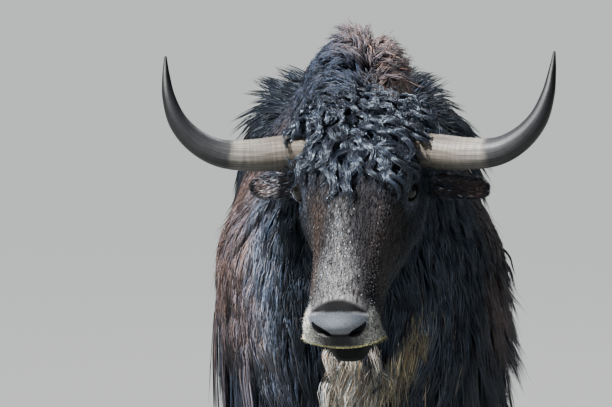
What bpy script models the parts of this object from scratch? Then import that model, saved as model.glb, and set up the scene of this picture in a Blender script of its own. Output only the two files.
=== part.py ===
"""A life-size domestic yak bull, standing square with its head low and turned a little to its right.

Metres, +Z up. The yak faces -Y, its left side is +X, and its hooves rest on z = 0. The flesh is a few
closed tubes drawn through named ribs. The long coat is flat, tapered locks fused to what they grow from.
"""

import math

import bmesh
import bpy
import numpy as np
from mathutils import Vector
from mathutils.bvhtree import BVHTree

# Driving sizes, in metres and degrees
GAP = 0.0003                        # kept between two pieces that touch
HEAD_PITCH = 45.0                   # the face slopes down by this much
HEAD_YAW = 9.5                      # the nose is turned to the yak's right by this much
HEAD_ROLL = 1.3                     # the yak's left horn is carried higher by this much
POLL = (0.0, -0.833, 1.232)         # top of the skull, where the head's own frame starts
EYE_PLACE = (0.091, 0.147, 0.054)   # across, along the face and down from it, in the head's frame
EYE_RADIUS = 0.0190
LID_RADIUS = 0.0232
EYE_OPENING = (0.036, 0.021)
HORN_MIDDLE = (0.0, 0.064, 0.041)   # between the two horns, in the head's frame
EAR_ROOT = (0.088, 0.092, 0.094)
EAR_SWEEP = {1: 4.0, -1: 24.0}      # how far the left and the right ear are turned back
CORONET = 0.062                     # height of the hoof's upper edge
CLEFT = 0.004                       # between the two claws of a hoof
STANCE = 0.150                      # from the middle to each leg
LOCK_THICKNESS = 0.007
LOCK_ROOT_DEPTH = 0.016             # how far a lock's root is sunk
DOWN = np.array([0.0, 0.0, -1.0])

# The trunk's ribs, from the throat to the rump. Each is a closed hoop between a point on the back line
# and a point on the belly line: y and z on top, y and z below, half width, and share of hump.
RIBS = np.array([
    (-0.845, 1.100, -0.835, 1.055, 0.020, 0.0),
    (-0.800, 1.195, -0.770, 0.960, 0.095, 0.0),
    (-0.715, 1.228, -0.715, 0.860, 0.148, 0.1),
    (-0.615, 1.242, -0.665, 0.740, 0.190, 0.3),
    (-0.515, 1.268, -0.590, 0.625, 0.228, 0.7),
    (-0.400, 1.315, -0.460, 0.520, 0.262, 1.0),
    (-0.275, 1.335, -0.310, 0.462, 0.272, 1.0),
    (-0.150, 1.315, -0.150, 0.440, 0.275, 0.8),
    (0.030, 1.240, 0.040, 0.432, 0.276, 0.35),
    (0.240, 1.178, 0.240, 0.435, 0.278, 0.05),
    (0.440, 1.168, 0.440, 0.455, 0.278, 0.0),
    (0.620, 1.188, 0.610, 0.510, 0.276, 0.0),
    (0.780, 1.196, 0.760, 0.590, 0.270, 0.0),
    (0.900, 1.160, 0.880, 0.670, 0.244, 0.0),
    (0.980, 1.075, 0.970, 0.750, 0.180, 0.0),
    (1.012, 0.950, 1.008, 0.850, 0.070, 0.0),
])
SHOULDER_RIB = 4                    # the neck ends and the torso starts here
LAST_RIB = len(RIBS) - 1
HUMP_NARROWING = 0.44               # how much the hump's crest is pinched in
RUMP_SQUARENESS = 0.22              # how much squarer the section is at the rump than at the chest

# The skull's ribs in the head's frame: place along the face, depth of the top line and of the underside,
# half width, roundness (1 is an ellipse, less is boxier) and flare (more is wider below).
SKULL = np.array([
    (-0.045, 0.055, 0.095, 0.030, 1.00, 0.00),
    (-0.030, 0.022, 0.125, 0.068, 0.80, 0.00),
    (0.000, 0.002, 0.150, 0.096, 0.70, -0.05),
    (0.050, -0.010, 0.172, 0.112, 0.64, -0.08),
    (0.100, -0.013, 0.186, 0.110, 0.62, -0.06),
    (0.150, -0.011, 0.192, 0.103, 0.62, -0.04),
    (0.200, -0.005, 0.186, 0.089, 0.64, -0.06),
    (0.250, 0.000, 0.168, 0.0745, 0.66, -0.06),
    (0.304, 0.001, 0.148, 0.066, 0.66, -0.02),
    (0.357, 0.000, 0.130, 0.0610, 0.64, 0.04),
    (0.399, -0.001, 0.117, 0.0600, 0.60, 0.14),
    (0.428, 0.002, 0.110, 0.0640, 0.56, 0.20),
    (0.449, 0.010, 0.107, 0.0640, 0.54, 0.22),
    (0.461, 0.026, 0.102, 0.0560, 0.60, 0.20),
    (0.467, 0.046, 0.088, 0.0340, 0.80, 0.12),
])
# Where the sides of the skull bulge: along, down, reach along, reach down, height.
BULGES = [
    (0.120, 0.028, 0.026, 0.020, 0.006),    # the brow over the eye
    (0.200, 0.120, 0.050, 0.035, 0.006),    # the muscle of the cheek
    (0.440, 0.090, 0.020, 0.014, 0.012),    # the corner of the upper lip
]
# The lower jaw's ribs, from the angle of the jaw to the chin: along, top, underside, half width.
JAW = np.array([
    (0.045, 0.130, 0.165, 0.030),
    (0.075, 0.120, 0.196, 0.066),
    (0.120, 0.118, 0.214, 0.078),
    (0.170, 0.118, 0.216, 0.074),
    (0.220, 0.118, 0.206, 0.061),
    (0.280, 0.118, 0.192, 0.050),
    (0.336, 0.117, 0.188, 0.045),
    (0.388, 0.1165, 0.188, 0.043),
    (0.418, 0.1155, 0.182, 0.039),
    (0.434, 0.1190, 0.166, 0.028),
])
# A horn's middle line from inside the skull to the tip: out, ahead, up, radius.
HORN = np.array([
    (0.060, 0.000, 0.004, 0.0315),
    (0.135, 0.008, 0.000, 0.0313),
    (0.190, 0.020, -0.003, 0.0290),
    (0.245, 0.032, 0.002, 0.0252),
    (0.287, 0.040, 0.024, 0.0218),
    (0.318, 0.042, 0.058, 0.0176),
    (0.335, 0.036, 0.100, 0.0123),
    (0.342, 0.024, 0.140, 0.0072),
    (0.345, 0.010, 0.173, 0.0025),
])
# An ear from its root to its tip: out, half height, half thickness.
EAR = np.array([
    (0.000, 0.0145, 0.0130),
    (0.030, 0.0195, 0.0135),
    (0.061, 0.0235, 0.0115),
    (0.092, 0.0240, 0.0095),
    (0.119, 0.0205, 0.0075),
    (0.135, 0.0115, 0.0045),
])
# A front and a hind leg, from inside the body to the coronet: y, z, half width, half depth.
FRONT_LEG = np.array([
    (-0.265, 0.700, 0.060, 0.080),
    (-0.265, 0.610, 0.086, 0.112),
    (-0.275, 0.520, 0.080, 0.098),
    (-0.292, 0.420, 0.062, 0.072),
    (-0.305, 0.340, 0.057, 0.060),
    (-0.302, 0.270, 0.043, 0.045),
    (-0.300, 0.190, 0.039, 0.043),
    (-0.304, 0.135, 0.048, 0.052),
    (-0.318, 0.095, 0.046, 0.048),
    (-0.328, CORONET, 0.055, 0.058),
])
HIND_LEG = np.array([
    (0.740, 0.800, 0.050, 0.090),
    (0.740, 0.700, 0.074, 0.140),
    (0.765, 0.600, 0.074, 0.126),
    (0.830, 0.500, 0.056, 0.082),
    (0.885, 0.425, 0.048, 0.062),
    (0.880, 0.345, 0.042, 0.047),
    (0.858, 0.250, 0.038, 0.042),
    (0.842, 0.150, 0.046, 0.050),
    (0.826, 0.100, 0.045, 0.047),
    (0.815, CORONET, 0.054, 0.057),
])
# The tail's core from the dock down: y, z, radius.
TAIL = np.array([
    (0.940, 1.075, 0.030),
    (1.026, 1.058, 0.034),
    (1.076, 0.960, 0.035),
    (1.084, 0.840, 0.034),
    (1.082, 0.720, 0.034),
    (1.080, 0.600, 0.024),
])
# The tail's brush in two whorls of locks: height and y of its middle, reach from there to the roots, how
# many locks, degrees to the first, length, width, and lift from the core.
BRUSH = [
    (0.86, 1.084, 0.034, 5, 30, 0.30, 0.066, 0.020),
    (0.64, 1.080, 0.030, 4, 0, 0.30, 0.064, 0.016),
]
# One claw of a hoof, from the sole up: z, half length, half width, how far its middle lies behind the toe's.
CLAW = np.array([
    (0.0000, 0.0600, 0.0240, 0.000),
    (0.0040, 0.0625, 0.0258, 0.000),
    (0.0250, 0.0600, 0.0262, 0.005),
    (0.0450, 0.0560, 0.0258, 0.011),
    (CORONET - GAP, 0.0510, 0.0240, 0.017),
])


# The coat's rows of locks along the trunk. Each row: first and last rib, how many, degrees from the back
# line, how far the locks lean back, length, width, lift from the skin, and how freely they hang.
NECK_ROWS = [
    (1.7, 3.4, 2, 34, 0.10, 0.19, 0.110, 0.012, 0.0),
    (1.5, 3.4, 3, 66, 0.10, 0.22, 0.100, 0.012, 0.0),
    (1.5, 3.4, 3, 104, 0.10, 0.23, 0.100, 0.012, 0.0),
    (1.7, 3.3, 3, 146, 0.00, 0.25, 0.085, 0.012, 0.8),
]
THROAT_ROW = (1.8, 3.4, 3, 176, 0.10, 0.25, 0.080, 0.012, 0.8)
CREST_ROW = (4.6, 8.0, 6, -4, 1.00, 0.14, 0.060, 0.018, 0.0)
BODY_ROWS = [
    (4.7, 8.0, 4, 14, 0.40, 0.17, 0.095, 0.010, 0.0),
    (4.6, 8.3, 5, 34, 0.35, 0.23, 0.108, 0.012, 0.0),
    (8.8, 12.6, 5, 12, 0.90, 0.17, 0.100, 0.014, 0.0),
    (9.6, 13.3, 4, 30, 0.60, 0.17, 0.105, 0.032, 0.0),
    (4.7, 13.8, 10, 56, 0.28, 0.27, 0.120, 0.012, 0.0),
    (4.6, 13.5, 11, 80, 0.12, 0.44, 0.118, 0.010, 0.6),
    (4.7, 13.0, 10, 102, 0.10, 0.44, 0.118, 0.014, 0.8),
    (7.2, 10.8, 4, 124, 0.08, 0.34, 0.120, 0.018, 0.9),
]
SKIRT_FROM = 5                      # the rows of BODY_ROWS from here on are the skirt's
LEFT_SKIRT_FLARE = 0.050            # how much further the skirt stands out on the yak's left side


# Small tools for curves, closed meshes and fusing

def spline(rows, t):
    """Catmull-Rom curve through the rows, read at t from 0 to len(rows) - 1."""
    t = np.atleast_1d(np.asarray(t, float))
    last = len(rows) - 1
    i = np.clip(np.floor(t).astype(int), 0, last - 1)
    f = (t - i)[:, None]
    before, start = rows[np.clip(i - 1, 0, last)], rows[i]
    end, after = rows[i + 1], rows[np.clip(i + 2, 0, last)]
    return 0.5 * (
        2 * start
        + (end - before) * f
        + (2 * before - 5 * start + 4 * end - after) * f**2
        + (3 * (start - end) + after - before) * f**3
    )


def smooth_step(low, high, value):
    share = np.clip((value - low) / (high - low), 0, 1)
    return share * share * (3 - 2 * share)


def unit(vector):
    return vector / np.linalg.norm(vector, axis=-1, keepdims=True)


def signed_power(value, power):
    return np.sign(value) * np.abs(value) ** power


def turns(count, offset=0.0):
    return (np.arange(count) + offset) * 2 * math.pi / count


def material(name, colour, roughness):
    made = bpy.data.materials.new(name)
    made.use_nodes = True
    shader = made.node_tree.nodes["Principled BSDF"]
    shader.inputs["Base Color"].default_value = (*colour, 1)
    shader.inputs["Roughness"].default_value = roughness
    return made


def tube(name, rings, finish):
    """Skin over a stack of rings, shape (rings, points, 3), closed by a flat cap at each end."""
    count, around = rings.shape[:2]
    k, j = np.divmod(np.arange((count - 1) * around), around)
    here, side = k * around + j, k * around + (j + 1) % around
    faces = np.stack([here, side, side + around, here + around], -1).tolist()
    faces.append(list(range(around))[::-1])
    faces.append(list(range((count - 1) * around, count * around)))
    mesh = bpy.data.meshes.new(name)
    mesh.from_pydata(rings.reshape(-1, 3).tolist(), [], faces)
    build = bmesh.new()
    build.from_mesh(mesh)
    if build.calc_volume(signed=True) < 0:
        bmesh.ops.reverse_faces(build, faces=build.faces)
    bmesh.ops.triangulate(build, faces=build.faces)
    build.to_mesh(mesh)
    build.free()
    mesh.materials.append(finish)
    made = bpy.data.objects.new(name, mesh)
    bpy.context.scene.collection.objects.link(made)
    return made


def round_tube(name, middle, radius, finish, around):
    """A tube of round section along a middle line."""
    lie = unit(np.gradient(middle, axis=0))
    across = unit(np.cross(lie, (0.0, 1.0, 0.13)))
    turn = turns(around)[None, :, None]
    ring = np.cos(turn) * across[:, None] + np.sin(turn) * np.cross(across, lie)[:, None]
    return tube(name, middle[:, None] + ring * np.asarray(radius)[:, None, None], finish)


def settle(obj):
    """Turns what the modifiers make into the object's own mesh."""
    graph = bpy.context.evaluated_depsgraph_get()
    finish = obj.data.materials[0]
    mesh = bpy.data.meshes.new_from_object(obj.evaluated_get(graph))
    obj.modifiers.clear()
    obj.data = mesh
    mesh.materials.clear()
    mesh.materials.append(finish)


def keep_largest(obj):
    """Drops every closed surface of the mesh but the largest."""
    build = bmesh.new()
    build.from_mesh(obj.data)
    left, shells = set(build.faces), []
    while left:
        front = [left.pop()]
        shell = set(front)
        while front:
            near = {f for e in front.pop().edges for f in e.link_faces} & left
            left -= near
            shell |= near
            front += near
        shells.append(shell)
    largest = max(shells, key=lambda shell: sum(f.calc_area() for f in shell))
    scraps = [f for shell in shells if shell is not largest for f in shell]
    bmesh.ops.delete(build, geom=scraps, context="FACES")
    bmesh.ops.triangulate(build, faces=build.faces)
    build.to_mesh(obj.data)
    build.free()


def combine(obj, others, operation, solver="EXACT"):
    """One Boolean of obj with all the others, which are then removed. Pieces with many locks that cross
    each other need the manifold solver, because the exact one leaves edges that touch."""
    group = bpy.data.collections.new(obj.name + "_pieces")
    bpy.context.scene.collection.children.link(group)
    for other in others:
        bpy.context.scene.collection.objects.unlink(other)
        group.objects.link(other)
    change = obj.modifiers.new("combine", "BOOLEAN")
    change.operation = operation
    change.operand_type = "COLLECTION"
    change.collection = group
    change.solver = solver
    settle(obj)
    keep_largest(obj)
    for other in others:
        bpy.data.objects.remove(other)
    bpy.data.collections.remove(group)


def grown(obj):
    """A copy of the object, larger by the gap on every side, to cut a neighbour clear of it."""
    copy = bpy.data.objects.new(obj.name + "_grown", obj.data.copy())
    bpy.context.scene.collection.objects.link(copy)
    build = bmesh.new()
    build.from_mesh(copy.data)
    build.normal_update()
    moves = [vertex.normal * GAP * min(vertex.calc_shell_factor() * 1.1, 4) for vertex in build.verts]
    for vertex, move in zip(build.verts, moves):
        vertex.co += move
    build.to_mesh(copy.data)
    build.free()
    return copy


def coated(obj, locks):
    """Fuses the locks to the flesh. What comes back are grown copies of the flesh and of every lock, which
    cut a neighbour clear of all of them."""
    clearance = [grown(piece) for piece in [obj] + locks]
    combine(obj, locks, "UNION", "MANIFOLD")
    return clearance


def linked_copies(objects):
    """Copies that one Boolean can use up while the next still needs the same shapes."""
    made = [obj.copy() for obj in objects]
    for obj in made:
        bpy.context.scene.collection.objects.link(obj)
    return made


# The trunk: one surface from throat to rump, parted at the shoulder

def trunk_point(t, angle):
    """The trunk's surface: t counts the ribs, and the angle goes from the back line over the left side."""
    y_top, z_top, y_low, z_low, wide, hump = spline(RIBS, t).T
    c, s = np.cos(angle), np.sin(angle)
    narrow = 1 - HUMP_NARROWING * hump * smooth_step(0.0, 0.75, c)
    up = (1 + c) / 2
    x = wide * signed_power(s, 0.9 - RUMP_SQUARENESS * smooth_step(8, 11, t)) * narrow
    return np.stack([x, y_low + (y_top - y_low) * up, z_low + (z_top - z_low) * up], -1)


def trunk_rings(first, last, count, around=20):
    return np.array([
        trunk_point(np.full(around, t), turns(around)) for t in np.linspace(first, last, count)
    ])


# The head's frame: across to the yak's left, along the face, and down from the face

def head_axes():
    pitch, yaw, roll = np.radians([HEAD_PITCH, HEAD_YAW, HEAD_ROLL])
    ahead = np.array([-math.sin(yaw), -math.cos(yaw), 0])
    level = np.array([math.cos(yaw), -math.sin(yaw), 0])
    across = math.cos(roll) * level - math.sin(roll) * DOWN
    up = -math.cos(roll) * DOWN - math.sin(roll) * level
    along = math.cos(pitch) * ahead - math.sin(pitch) * up
    down = -math.sin(pitch) * ahead - math.cos(pitch) * up
    return np.array([across, along, down]), np.array([across, ahead, up])


FACE_AXES, LEVEL_AXES = head_axes()


def from_face(points):
    return np.asarray(points, float) @ FACE_AXES + np.array(POLL)


def skull_point(t, angle):
    """The skull's surface in the head's frame, with its bulges raised as round hills."""
    along, top, low, wide, roundness, flare = spline(SKULL, t).T
    c, s = np.cos(angle), np.sin(angle)
    x = wide * signed_power(s, roundness) * (1 - flare * c)
    down = (top + low) / 2 - (low - top) / 2 * signed_power(c, roundness)
    for centre_along, centre_down, long, deep, height in BULGES:
        hill = height * np.exp(-(((along - centre_along) / long) ** 2) - ((down - centre_down) / deep) ** 2)
        x = x + np.sign(s) * hill
    return np.stack([x, along, down], -1)


def skull_rings(count=23, around=20):
    return np.array([
        from_face(skull_point(np.full(around, t), turns(around, 0.5)))
        for t in np.linspace(0, len(SKULL) - 1, count)
    ])


def jaw_rings(count=14, around=14):
    angle = turns(around, 0.5)
    along, top, low, wide = (column[:, None] for column in spline(JAW, np.linspace(0, len(JAW) - 1, count)).T)
    x = wide * signed_power(np.sin(angle), 0.75)
    down = (top + low) / 2 - (low - top) / 2 * signed_power(np.cos(angle), 0.75)
    return from_face(np.stack([x, along + 0 * x, down], -1))


def ball(name, centre, radius, finish, around=11, stacks=7):
    """A closed ball with its poles along Z."""
    tilt = ((np.arange(stacks) + 0.5) * math.pi / stacks)[:, None]
    turn = turns(around)[None]
    rings = np.stack([np.sin(tilt) * np.cos(turn), np.sin(tilt) * np.sin(turn), np.cos(tilt) + 0 * turn], -1)
    return tube(name, np.array(centre) + radius * rings, finish)


def eye_centre(side):
    return from_face((side * EYE_PLACE[0], EYE_PLACE[1], EYE_PLACE[2]))


def eye_opening(side, finish, points=7):
    """A prism with two pointed corners, which cuts the lids open in front of the eye."""
    look = unit(np.array([side * 0.74, 0.48, -0.47]) @ FACE_AXES)
    inner = np.array([side * -0.30, 0.90, 0.25]) @ FACE_AXES
    inner = unit(inner - look * (inner @ look))
    upper = np.cross(look, inner)
    u = np.linspace(-1, 1, points)
    outline = np.concatenate([np.stack([u, 1 - u**2], -1), np.stack([u, u**2 - 1], -1)[-2:0:-1]])
    wide, high = EYE_OPENING
    flat = outline[:, :1] * inner * wide / 2 + outline[:, 1:] * upper * high / 2
    rings = np.array([flat + eye_centre(side) + look * EYE_RADIUS * reach for reach in (0.35, 1.8)])
    return tube("eye_opening", rings, finish)


def nostril(side, finish, points=7):
    """A comma-shaped bore, from the outer wing of the nostril down and in beside the nose pad."""
    u = np.linspace(0, 1, points)
    core = np.stack([0.0515 - 0.0325 * u, 0.022 + 0.021 * u**1.2], -1)
    half = 0.0050 * np.sqrt(np.sin(math.pi * (0.06 + 0.86 * u)))[:, None]
    lie = unit(np.gradient(core, axis=0))
    sideways = np.stack([-lie[:, 1], lie[:, 0]], -1)
    outline = np.concatenate([core + sideways * half, (core - sideways * half)[::-1]])
    rings = []
    for along, inward in ((0.490, 0.0), (0.434, 0.008)):
        x = side * (outline[:, 0] - inward)
        rings.append(from_face(np.stack([x, np.full(len(x), along), outline[:, 1]], -1)))
    return tube("nostril", np.array(rings), finish)


def horn(side, finish, count=15):
    """A horn grows out level and sweeps up in one curve to a tip that leans a little back."""
    out, ahead, up, radius = spline(HORN, np.linspace(0, len(HORN) - 1, count)).T
    middle = from_face(HORN_MIDDLE) + np.stack([side * out, ahead, up], -1) @ LEVEL_AXES
    return round_tube("horn_left" if side > 0 else "horn_right", middle, radius, finish, 10)


def ear_rings(side, grow, forward, first, around=8, count=7):
    """Flattened rings along the ear. The ear's hollow is cut by the same rings, smaller and moved ahead."""
    out, high, thick = spline(EAR, np.linspace(first, len(EAR) - 1, count)).T
    sweep = math.radians(EAR_SWEEP[side])
    lie = np.array([side * math.cos(sweep), -math.sin(sweep), -0.10]) @ LEVEL_AXES
    front = unit(np.array([side * math.sin(sweep), math.cos(sweep), -0.25]) @ LEVEL_AXES)
    upper = unit(np.cross(lie, front))
    middle = from_face((side * EAR_ROOT[0], EAR_ROOT[1], EAR_ROOT[2])) + out[:, None] * lie
    turn = turns(around)[None, :, None]
    high, thick = (np.maximum(half + grow, 0.0012)[:, None, None] for half in (high, thick))
    ring = np.cos(turn) * high * upper + np.sin(turn) * thick * front
    return middle[:, None] + ring + front * forward


def leg(name, rows, side, finish, count=14, around=10):
    y, z, wide, deep = (column[:, None] for column in spline(rows, np.linspace(0, len(rows) - 1, count)).T)
    turn = turns(around, 0.5)
    rings = np.stack([side * STANCE + wide * np.cos(turn), y + deep * np.sin(turn), z + 0 * turn], -1)
    return tube(name, rings, finish)


def claw(name, rows, side, half, finish, around=10):
    """One of the two toes of a hoof: flat sole, blunt rounded toe ahead, upright heel."""
    z, long, wide, back = (column[:, None] for column in CLAW.T)
    turn = turns(around)
    length = signed_power(np.sin(turn), 0.75)
    narrow = 1 - 0.28 * np.clip(-length, 0, 1) ** 2
    middle = side * STANCE + half * (CLEFT / 2 + CLAW[:, 2].max())
    x = middle + wide * signed_power(np.cos(turn), 0.75) * narrow
    y = rows[-1, 0] - 0.016 + back + long * length
    return tube(name, np.stack([x, y, z + 0 * x], -1), finish)


def dewclaw(name, rows, side, half, finish):
    """A small blunt claw behind the fetlock."""
    place, deep = rows[-3], rows[-3, 3]
    start = np.array([side * STANCE + half * 0.023, place[0] + deep - 0.012, place[1] + 0.004])
    share = np.linspace(0, 1, 3)[:, None]
    middle = start + share * np.array([half * 0.004, 0.026, -0.020])
    radius = 0.0125 * np.sqrt(1 - 0.85 * share[:, 0] ** 2)
    return round_tube(name, middle, radius, finish, 5)


# The coat: locks that grow out of one part and lie over the whole animal

def ground_of(objects):
    """All the flesh as one searchable surface."""
    points, faces = [], []
    for obj in objects:
        first = len(points)
        points += [vertex.co.copy() for vertex in obj.data.vertices]
        faces += [tuple(first + i for i in face.vertices) for face in obj.data.polygons]
    return BVHTree.FromPolygons(points, faces)


def nearest(ground, point):
    """The closest place on the flesh, the way out of it, and the height above it."""
    place, normal, _, _ = ground.find_nearest(Vector(point))
    place, normal = np.array(place), np.array(normal)
    return place, normal, float((point - place) @ normal)


def lock(ground, root, lie, length, width, finish, lift=0.012, flare=0.0, hang=0.0, wave=0.1, rings=3,
         phase=0.0):
    """A flat lock with a ridge along its back. It leaves the skin at root, follows it along lie, and tapers
    to a point. It rises to lift in the middle, and from there on it stands out by flare more. With hang it
    falls free instead of hugging the skin, and with wave it sways to both sides."""
    steps = 4 * rings
    place, normal, _ = nearest(ground, np.array(root))
    heading = unit(lie - normal * (lie @ normal))
    path, backs = [place - normal * LOCK_ROOT_DEPTH - heading * LOCK_ROOT_DEPTH / 2], [normal]
    point = place
    for step in range(1, steps + 1):
        share = step / steps
        sideways = np.cross(normal, heading) * wave * math.cos(8 * share + phase)
        heading = unit(heading + hang * DOWN * 0.5)
        point = point + (heading + sideways) * length / steps
        _, way_out, height = nearest(ground, point)
        want = lift * math.sin(math.pi * (0.12 + 0.73 * share)) + flare * min(2 * share, 1)
        point = point + way_out * (want - height) * (1 if height < want else (1 - hang) * (1 - share))
        if hang < 0.5:
            heading = unit(heading - way_out * (heading @ way_out))
            normal = unit(normal + way_out)
        path.append(point)
        backs.append(normal)
    path, backs = np.array(path), np.array(backs)
    if hang >= 0.5:
        backs = unit(backs * (1, 1, 0.15))
    run = unit(np.gradient(path, axis=0))
    across = unit(np.cross(run, backs))
    backs = np.cross(across, run)
    hoops = []
    for ring in range(rings + 1):
        k = 4 * ring
        share = ring / rings
        half = width / 2 * (0.5 + 1.9 * share - 2.2 * share**2) if ring < rings else 0.0004
        thick = LOCK_THICKNESS * (1 - 0.6 * share) if ring < rings else 0.0006
        hoops.append([path[k] - across[k] * half, path[k] + across[k] * half, path[k] + backs[k] * thick])
    return tube("lock", np.array(hoops), finish)


def trunk_locks(ground, row, side, seed, fall=1.0, flare=0.0):
    """One row of locks along the trunk, which lie down and a little back, every second one rooted lower."""
    first, last, count, degrees, back, length, width, lift, hang = row
    rng = np.random.default_rng(seed)
    mirror = np.array([side, 1, 1])
    made = []
    for number, t in enumerate(np.linspace(first, last, count)):
        angle = math.radians(degrees + rng.uniform(-3, 3) + 7 * (number % 2))
        t_here = t + rng.uniform(-0.15, 0.15)
        root = trunk_point(t_here, angle)[0]
        low = unit(trunk_point(t_here, angle + 0.02)[0] - root)
        rear = unit(trunk_point(t_here + 0.02, angle)[0] - root)
        lie = fall * low + (back + rng.uniform(-0.10, 0.10)) * rear
        made.append(lock(ground, root * mirror, lie * mirror, length * rng.uniform(0.88, 1.12),
                         width * rng.uniform(0.9, 1.1), coat, lift=lift, flare=flare, hang=hang,
                         phase=rng.uniform(0, 6)))
    return made


def head_locks(ground, roots, seed, **ways):
    """Locks on the head. Each root gives its place across, along and down, its lie, its length and width."""
    rng = np.random.default_rng(seed)
    made = []
    for place, lie, long, wide in roots:
        place = from_face(np.array(place) + rng.uniform(-0.006, 0.006, 3))
        made.append(lock(ground, place, unit(np.array(lie) @ FACE_AXES), long * rng.uniform(0.9, 1.1),
                         wide * rng.uniform(0.9, 1.1), head_coat, phase=rng.uniform(0, 6), **ways))
    return made


def whorl(ground, row, seed):
    """Locks that hang round the tail, all rooted at one height."""
    height, y, reach, count, first, length, width, lift = row
    rng = np.random.default_rng(seed)
    made = []
    for angle in turns(count) + math.radians(first):
        out = np.array([math.cos(angle), math.sin(angle), 0])
        root = np.array([0, y, height]) + out * reach + DOWN * rng.uniform(-0.02, 0.02)
        made.append(lock(ground, root, DOWN + out * 0.05, length * rng.uniform(0.9, 1.1), width, coat,
                         lift=lift, hang=0.7, phase=rng.uniform(0, 6)))
    return made


# Clear the scene, then make every part

for old in list(bpy.data.objects):
    bpy.data.objects.remove(old)

coat = material("coat", (0.030, 0.026, 0.025), 0.75)
head_coat = material("head_coat", (0.045, 0.038, 0.035), 0.75)
ear_coat = material("ear_coat", (0.040, 0.025, 0.020), 0.8)
horn_finish = material("horn", (0.36, 0.32, 0.27), 0.45)
eye_finish = material("eye", (0.012, 0.008, 0.006), 0.08)
hoof_finish = material("hoof", (0.050, 0.045, 0.042), 0.5)

head = tube("head", skull_rings(), head_coat)
combine(head, [tube("jaw", jaw_rings(), head_coat)]
        + [ball("lid", eye_centre(side), LID_RADIUS, head_coat) for side in (1, -1)], "UNION")
neck = tube("neck", trunk_rings(0, SHOULDER_RIB, 9), coat)
torso = tube("torso", trunk_rings(SHOULDER_RIB - 0.1, LAST_RIB, 22), coat)
tail = round_tube("tail", spline(np.insert(TAIL, 0, 0, 1), np.linspace(0, len(TAIL) - 1, 11))[:, :3],
                  spline(TAIL, np.linspace(0, len(TAIL) - 1, 11))[:, 2], coat, 10)
eyes, horns, ears = [], [], []
for name, side in (("left", 1), ("right", -1)):
    eyes.append(ball(f"eye_{name}", eye_centre(side), EYE_RADIUS, eye_finish))
    horns.append(horn(side, horn_finish))
    ear = tube(f"ear_{name}", ear_rings(side, 0.0, 0.0, 0.0), ear_coat)
    combine(ear, [tube("hollow", ear_rings(side, -0.0035, 0.0068, 1.2), ear_coat)], "DIFFERENCE")
    ears.append(ear)
legs = []
for name, rows in (("front", FRONT_LEG), ("hind", HIND_LEG)):
    for side_name, side in (("left", 1), ("right", -1)):
        made = leg(f"leg_{name}_{side_name}", rows, side, coat)
        legs.append(made)
        for half_name, half in (("outer", side), ("inner", -side)):
            claw(f"hoof_{name}_{side_name}_{half_name}", rows, side, half, hoof_finish)
            toe = dewclaw(f"dewclaw_{name}_{side_name}_{half_name}", rows, side, half, hoof_finish)
            combine(toe, [grown(made)], "DIFFERENCE")

ground = ground_of([head, neck, torso, tail, *horns, *ears, *eyes, *legs])

# Forelock: wavy locks that fan out from the crown over the brow and the horn bases.
# Each lock: where it grows and how it lies in the head's frame, then its length and width.
crown, fringe, sides = [], [], []
for across in np.linspace(-0.080, 0.080, 5):
    crown.append(((across, -0.022, 0.0), (across * 6, 1.0, -0.5), 0.105, 0.060))
    fringe.append(((across * 1.1, 0.032, -0.01), (across * 6, 1.0, 0), 0.110, 0.054))
    fringe.append(((across * 0.85 + 0.008, 0.085, -0.01), (across * 3, 1.0, 0), 0.105, 0.042))
for side in (1, -1):
    for along in (0.000, 0.048):
        sides.append(((side * 0.085, along, 0.0), (side * 1.0, 0.45, 0.2), 0.072, 0.052))
forelock = head_locks(ground, crown, 1, lift=0.042, wave=0.4)
forelock += head_locks(ground, fringe, 2, lift=0.024, wave=0.4)
forelock += head_locks(ground, sides, 3, lift=0.022, wave=0.3)
head_clearance = coated(head, forelock)

# Neck and chest: locks that lie down the neck's sides, and longer ones that hang from throat and chest
neck_hair = trunk_locks(ground, THROAT_ROW, 1, 10)
for number, row in enumerate(NECK_ROWS):
    for side in (1, -1):
        neck_hair += trunk_locks(ground, row, side, 20 + 2 * number + side)
neck_clearance = coated(neck, neck_hair)

# Body: crest, hump, shoulders, flanks and rump, then the skirt, whose tips hang past the belly
body_hair = trunk_locks(ground, CREST_ROW, 1, 30, fall=0.2)
for number, row in enumerate(BODY_ROWS):
    skirt = number >= SKIRT_FROM
    for side in (1, -1):
        flare = LEFT_SKIRT_FLARE if skirt and side == 1 else 0.0
        body_hair += trunk_locks(ground, row, side, 40 + 2 * number + side, flare=flare)
torso_clearance = coated(torso, body_hair)

# Tail: two whorls of locks make its brush
brush = whorl(ground, BRUSH[0], 70) + whorl(ground, BRUSH[1], 71)
combine(tail, brush, "UNION", "MANIFOLD")

# Part the pieces where they meet
combine(neck, head_clearance + linked_copies([head]), "DIFFERENCE", "MANIFOLD")
combine(torso, neck_clearance + linked_copies([neck]), "DIFFERENCE", "MANIFOLD")
for made in legs + [tail]:
    combine(made, linked_copies(torso_clearance), "DIFFERENCE", "MANIFOLD")
for cutter in torso_clearance:
    bpy.data.objects.remove(cutter)
combine(head, [grown(obj) for obj in eyes + horns]
        + [tube("ear_seat", ear_rings(side, 0.0006, 0.0, -0.03), head_coat) for side in (1, -1)]
        + [eye_opening(side, head_coat) for side in (1, -1)]
        + [nostril(side, head_coat) for side in (1, -1)], "DIFFERENCE", "MANIFOLD")

for obj in bpy.data.objects:
    if obj.type == "MESH":
        obj.data.shade_smooth()
        obj.data.set_sharp_from_angle(angle=math.radians(40))
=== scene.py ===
"""Looks of the life-size yak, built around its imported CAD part.

Metres, +Z up. The yak faces -Y and its left side is +X. One skin stands for all the flesh, and the coat
is solid strands over it, gathered into locks. Every strand is a thin tapered bar of three sides.
"""

import math

import bmesh
import bpy
import numpy as np
from mathutils import Matrix, Vector
from mathutils.bvhtree import BVHTree


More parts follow.
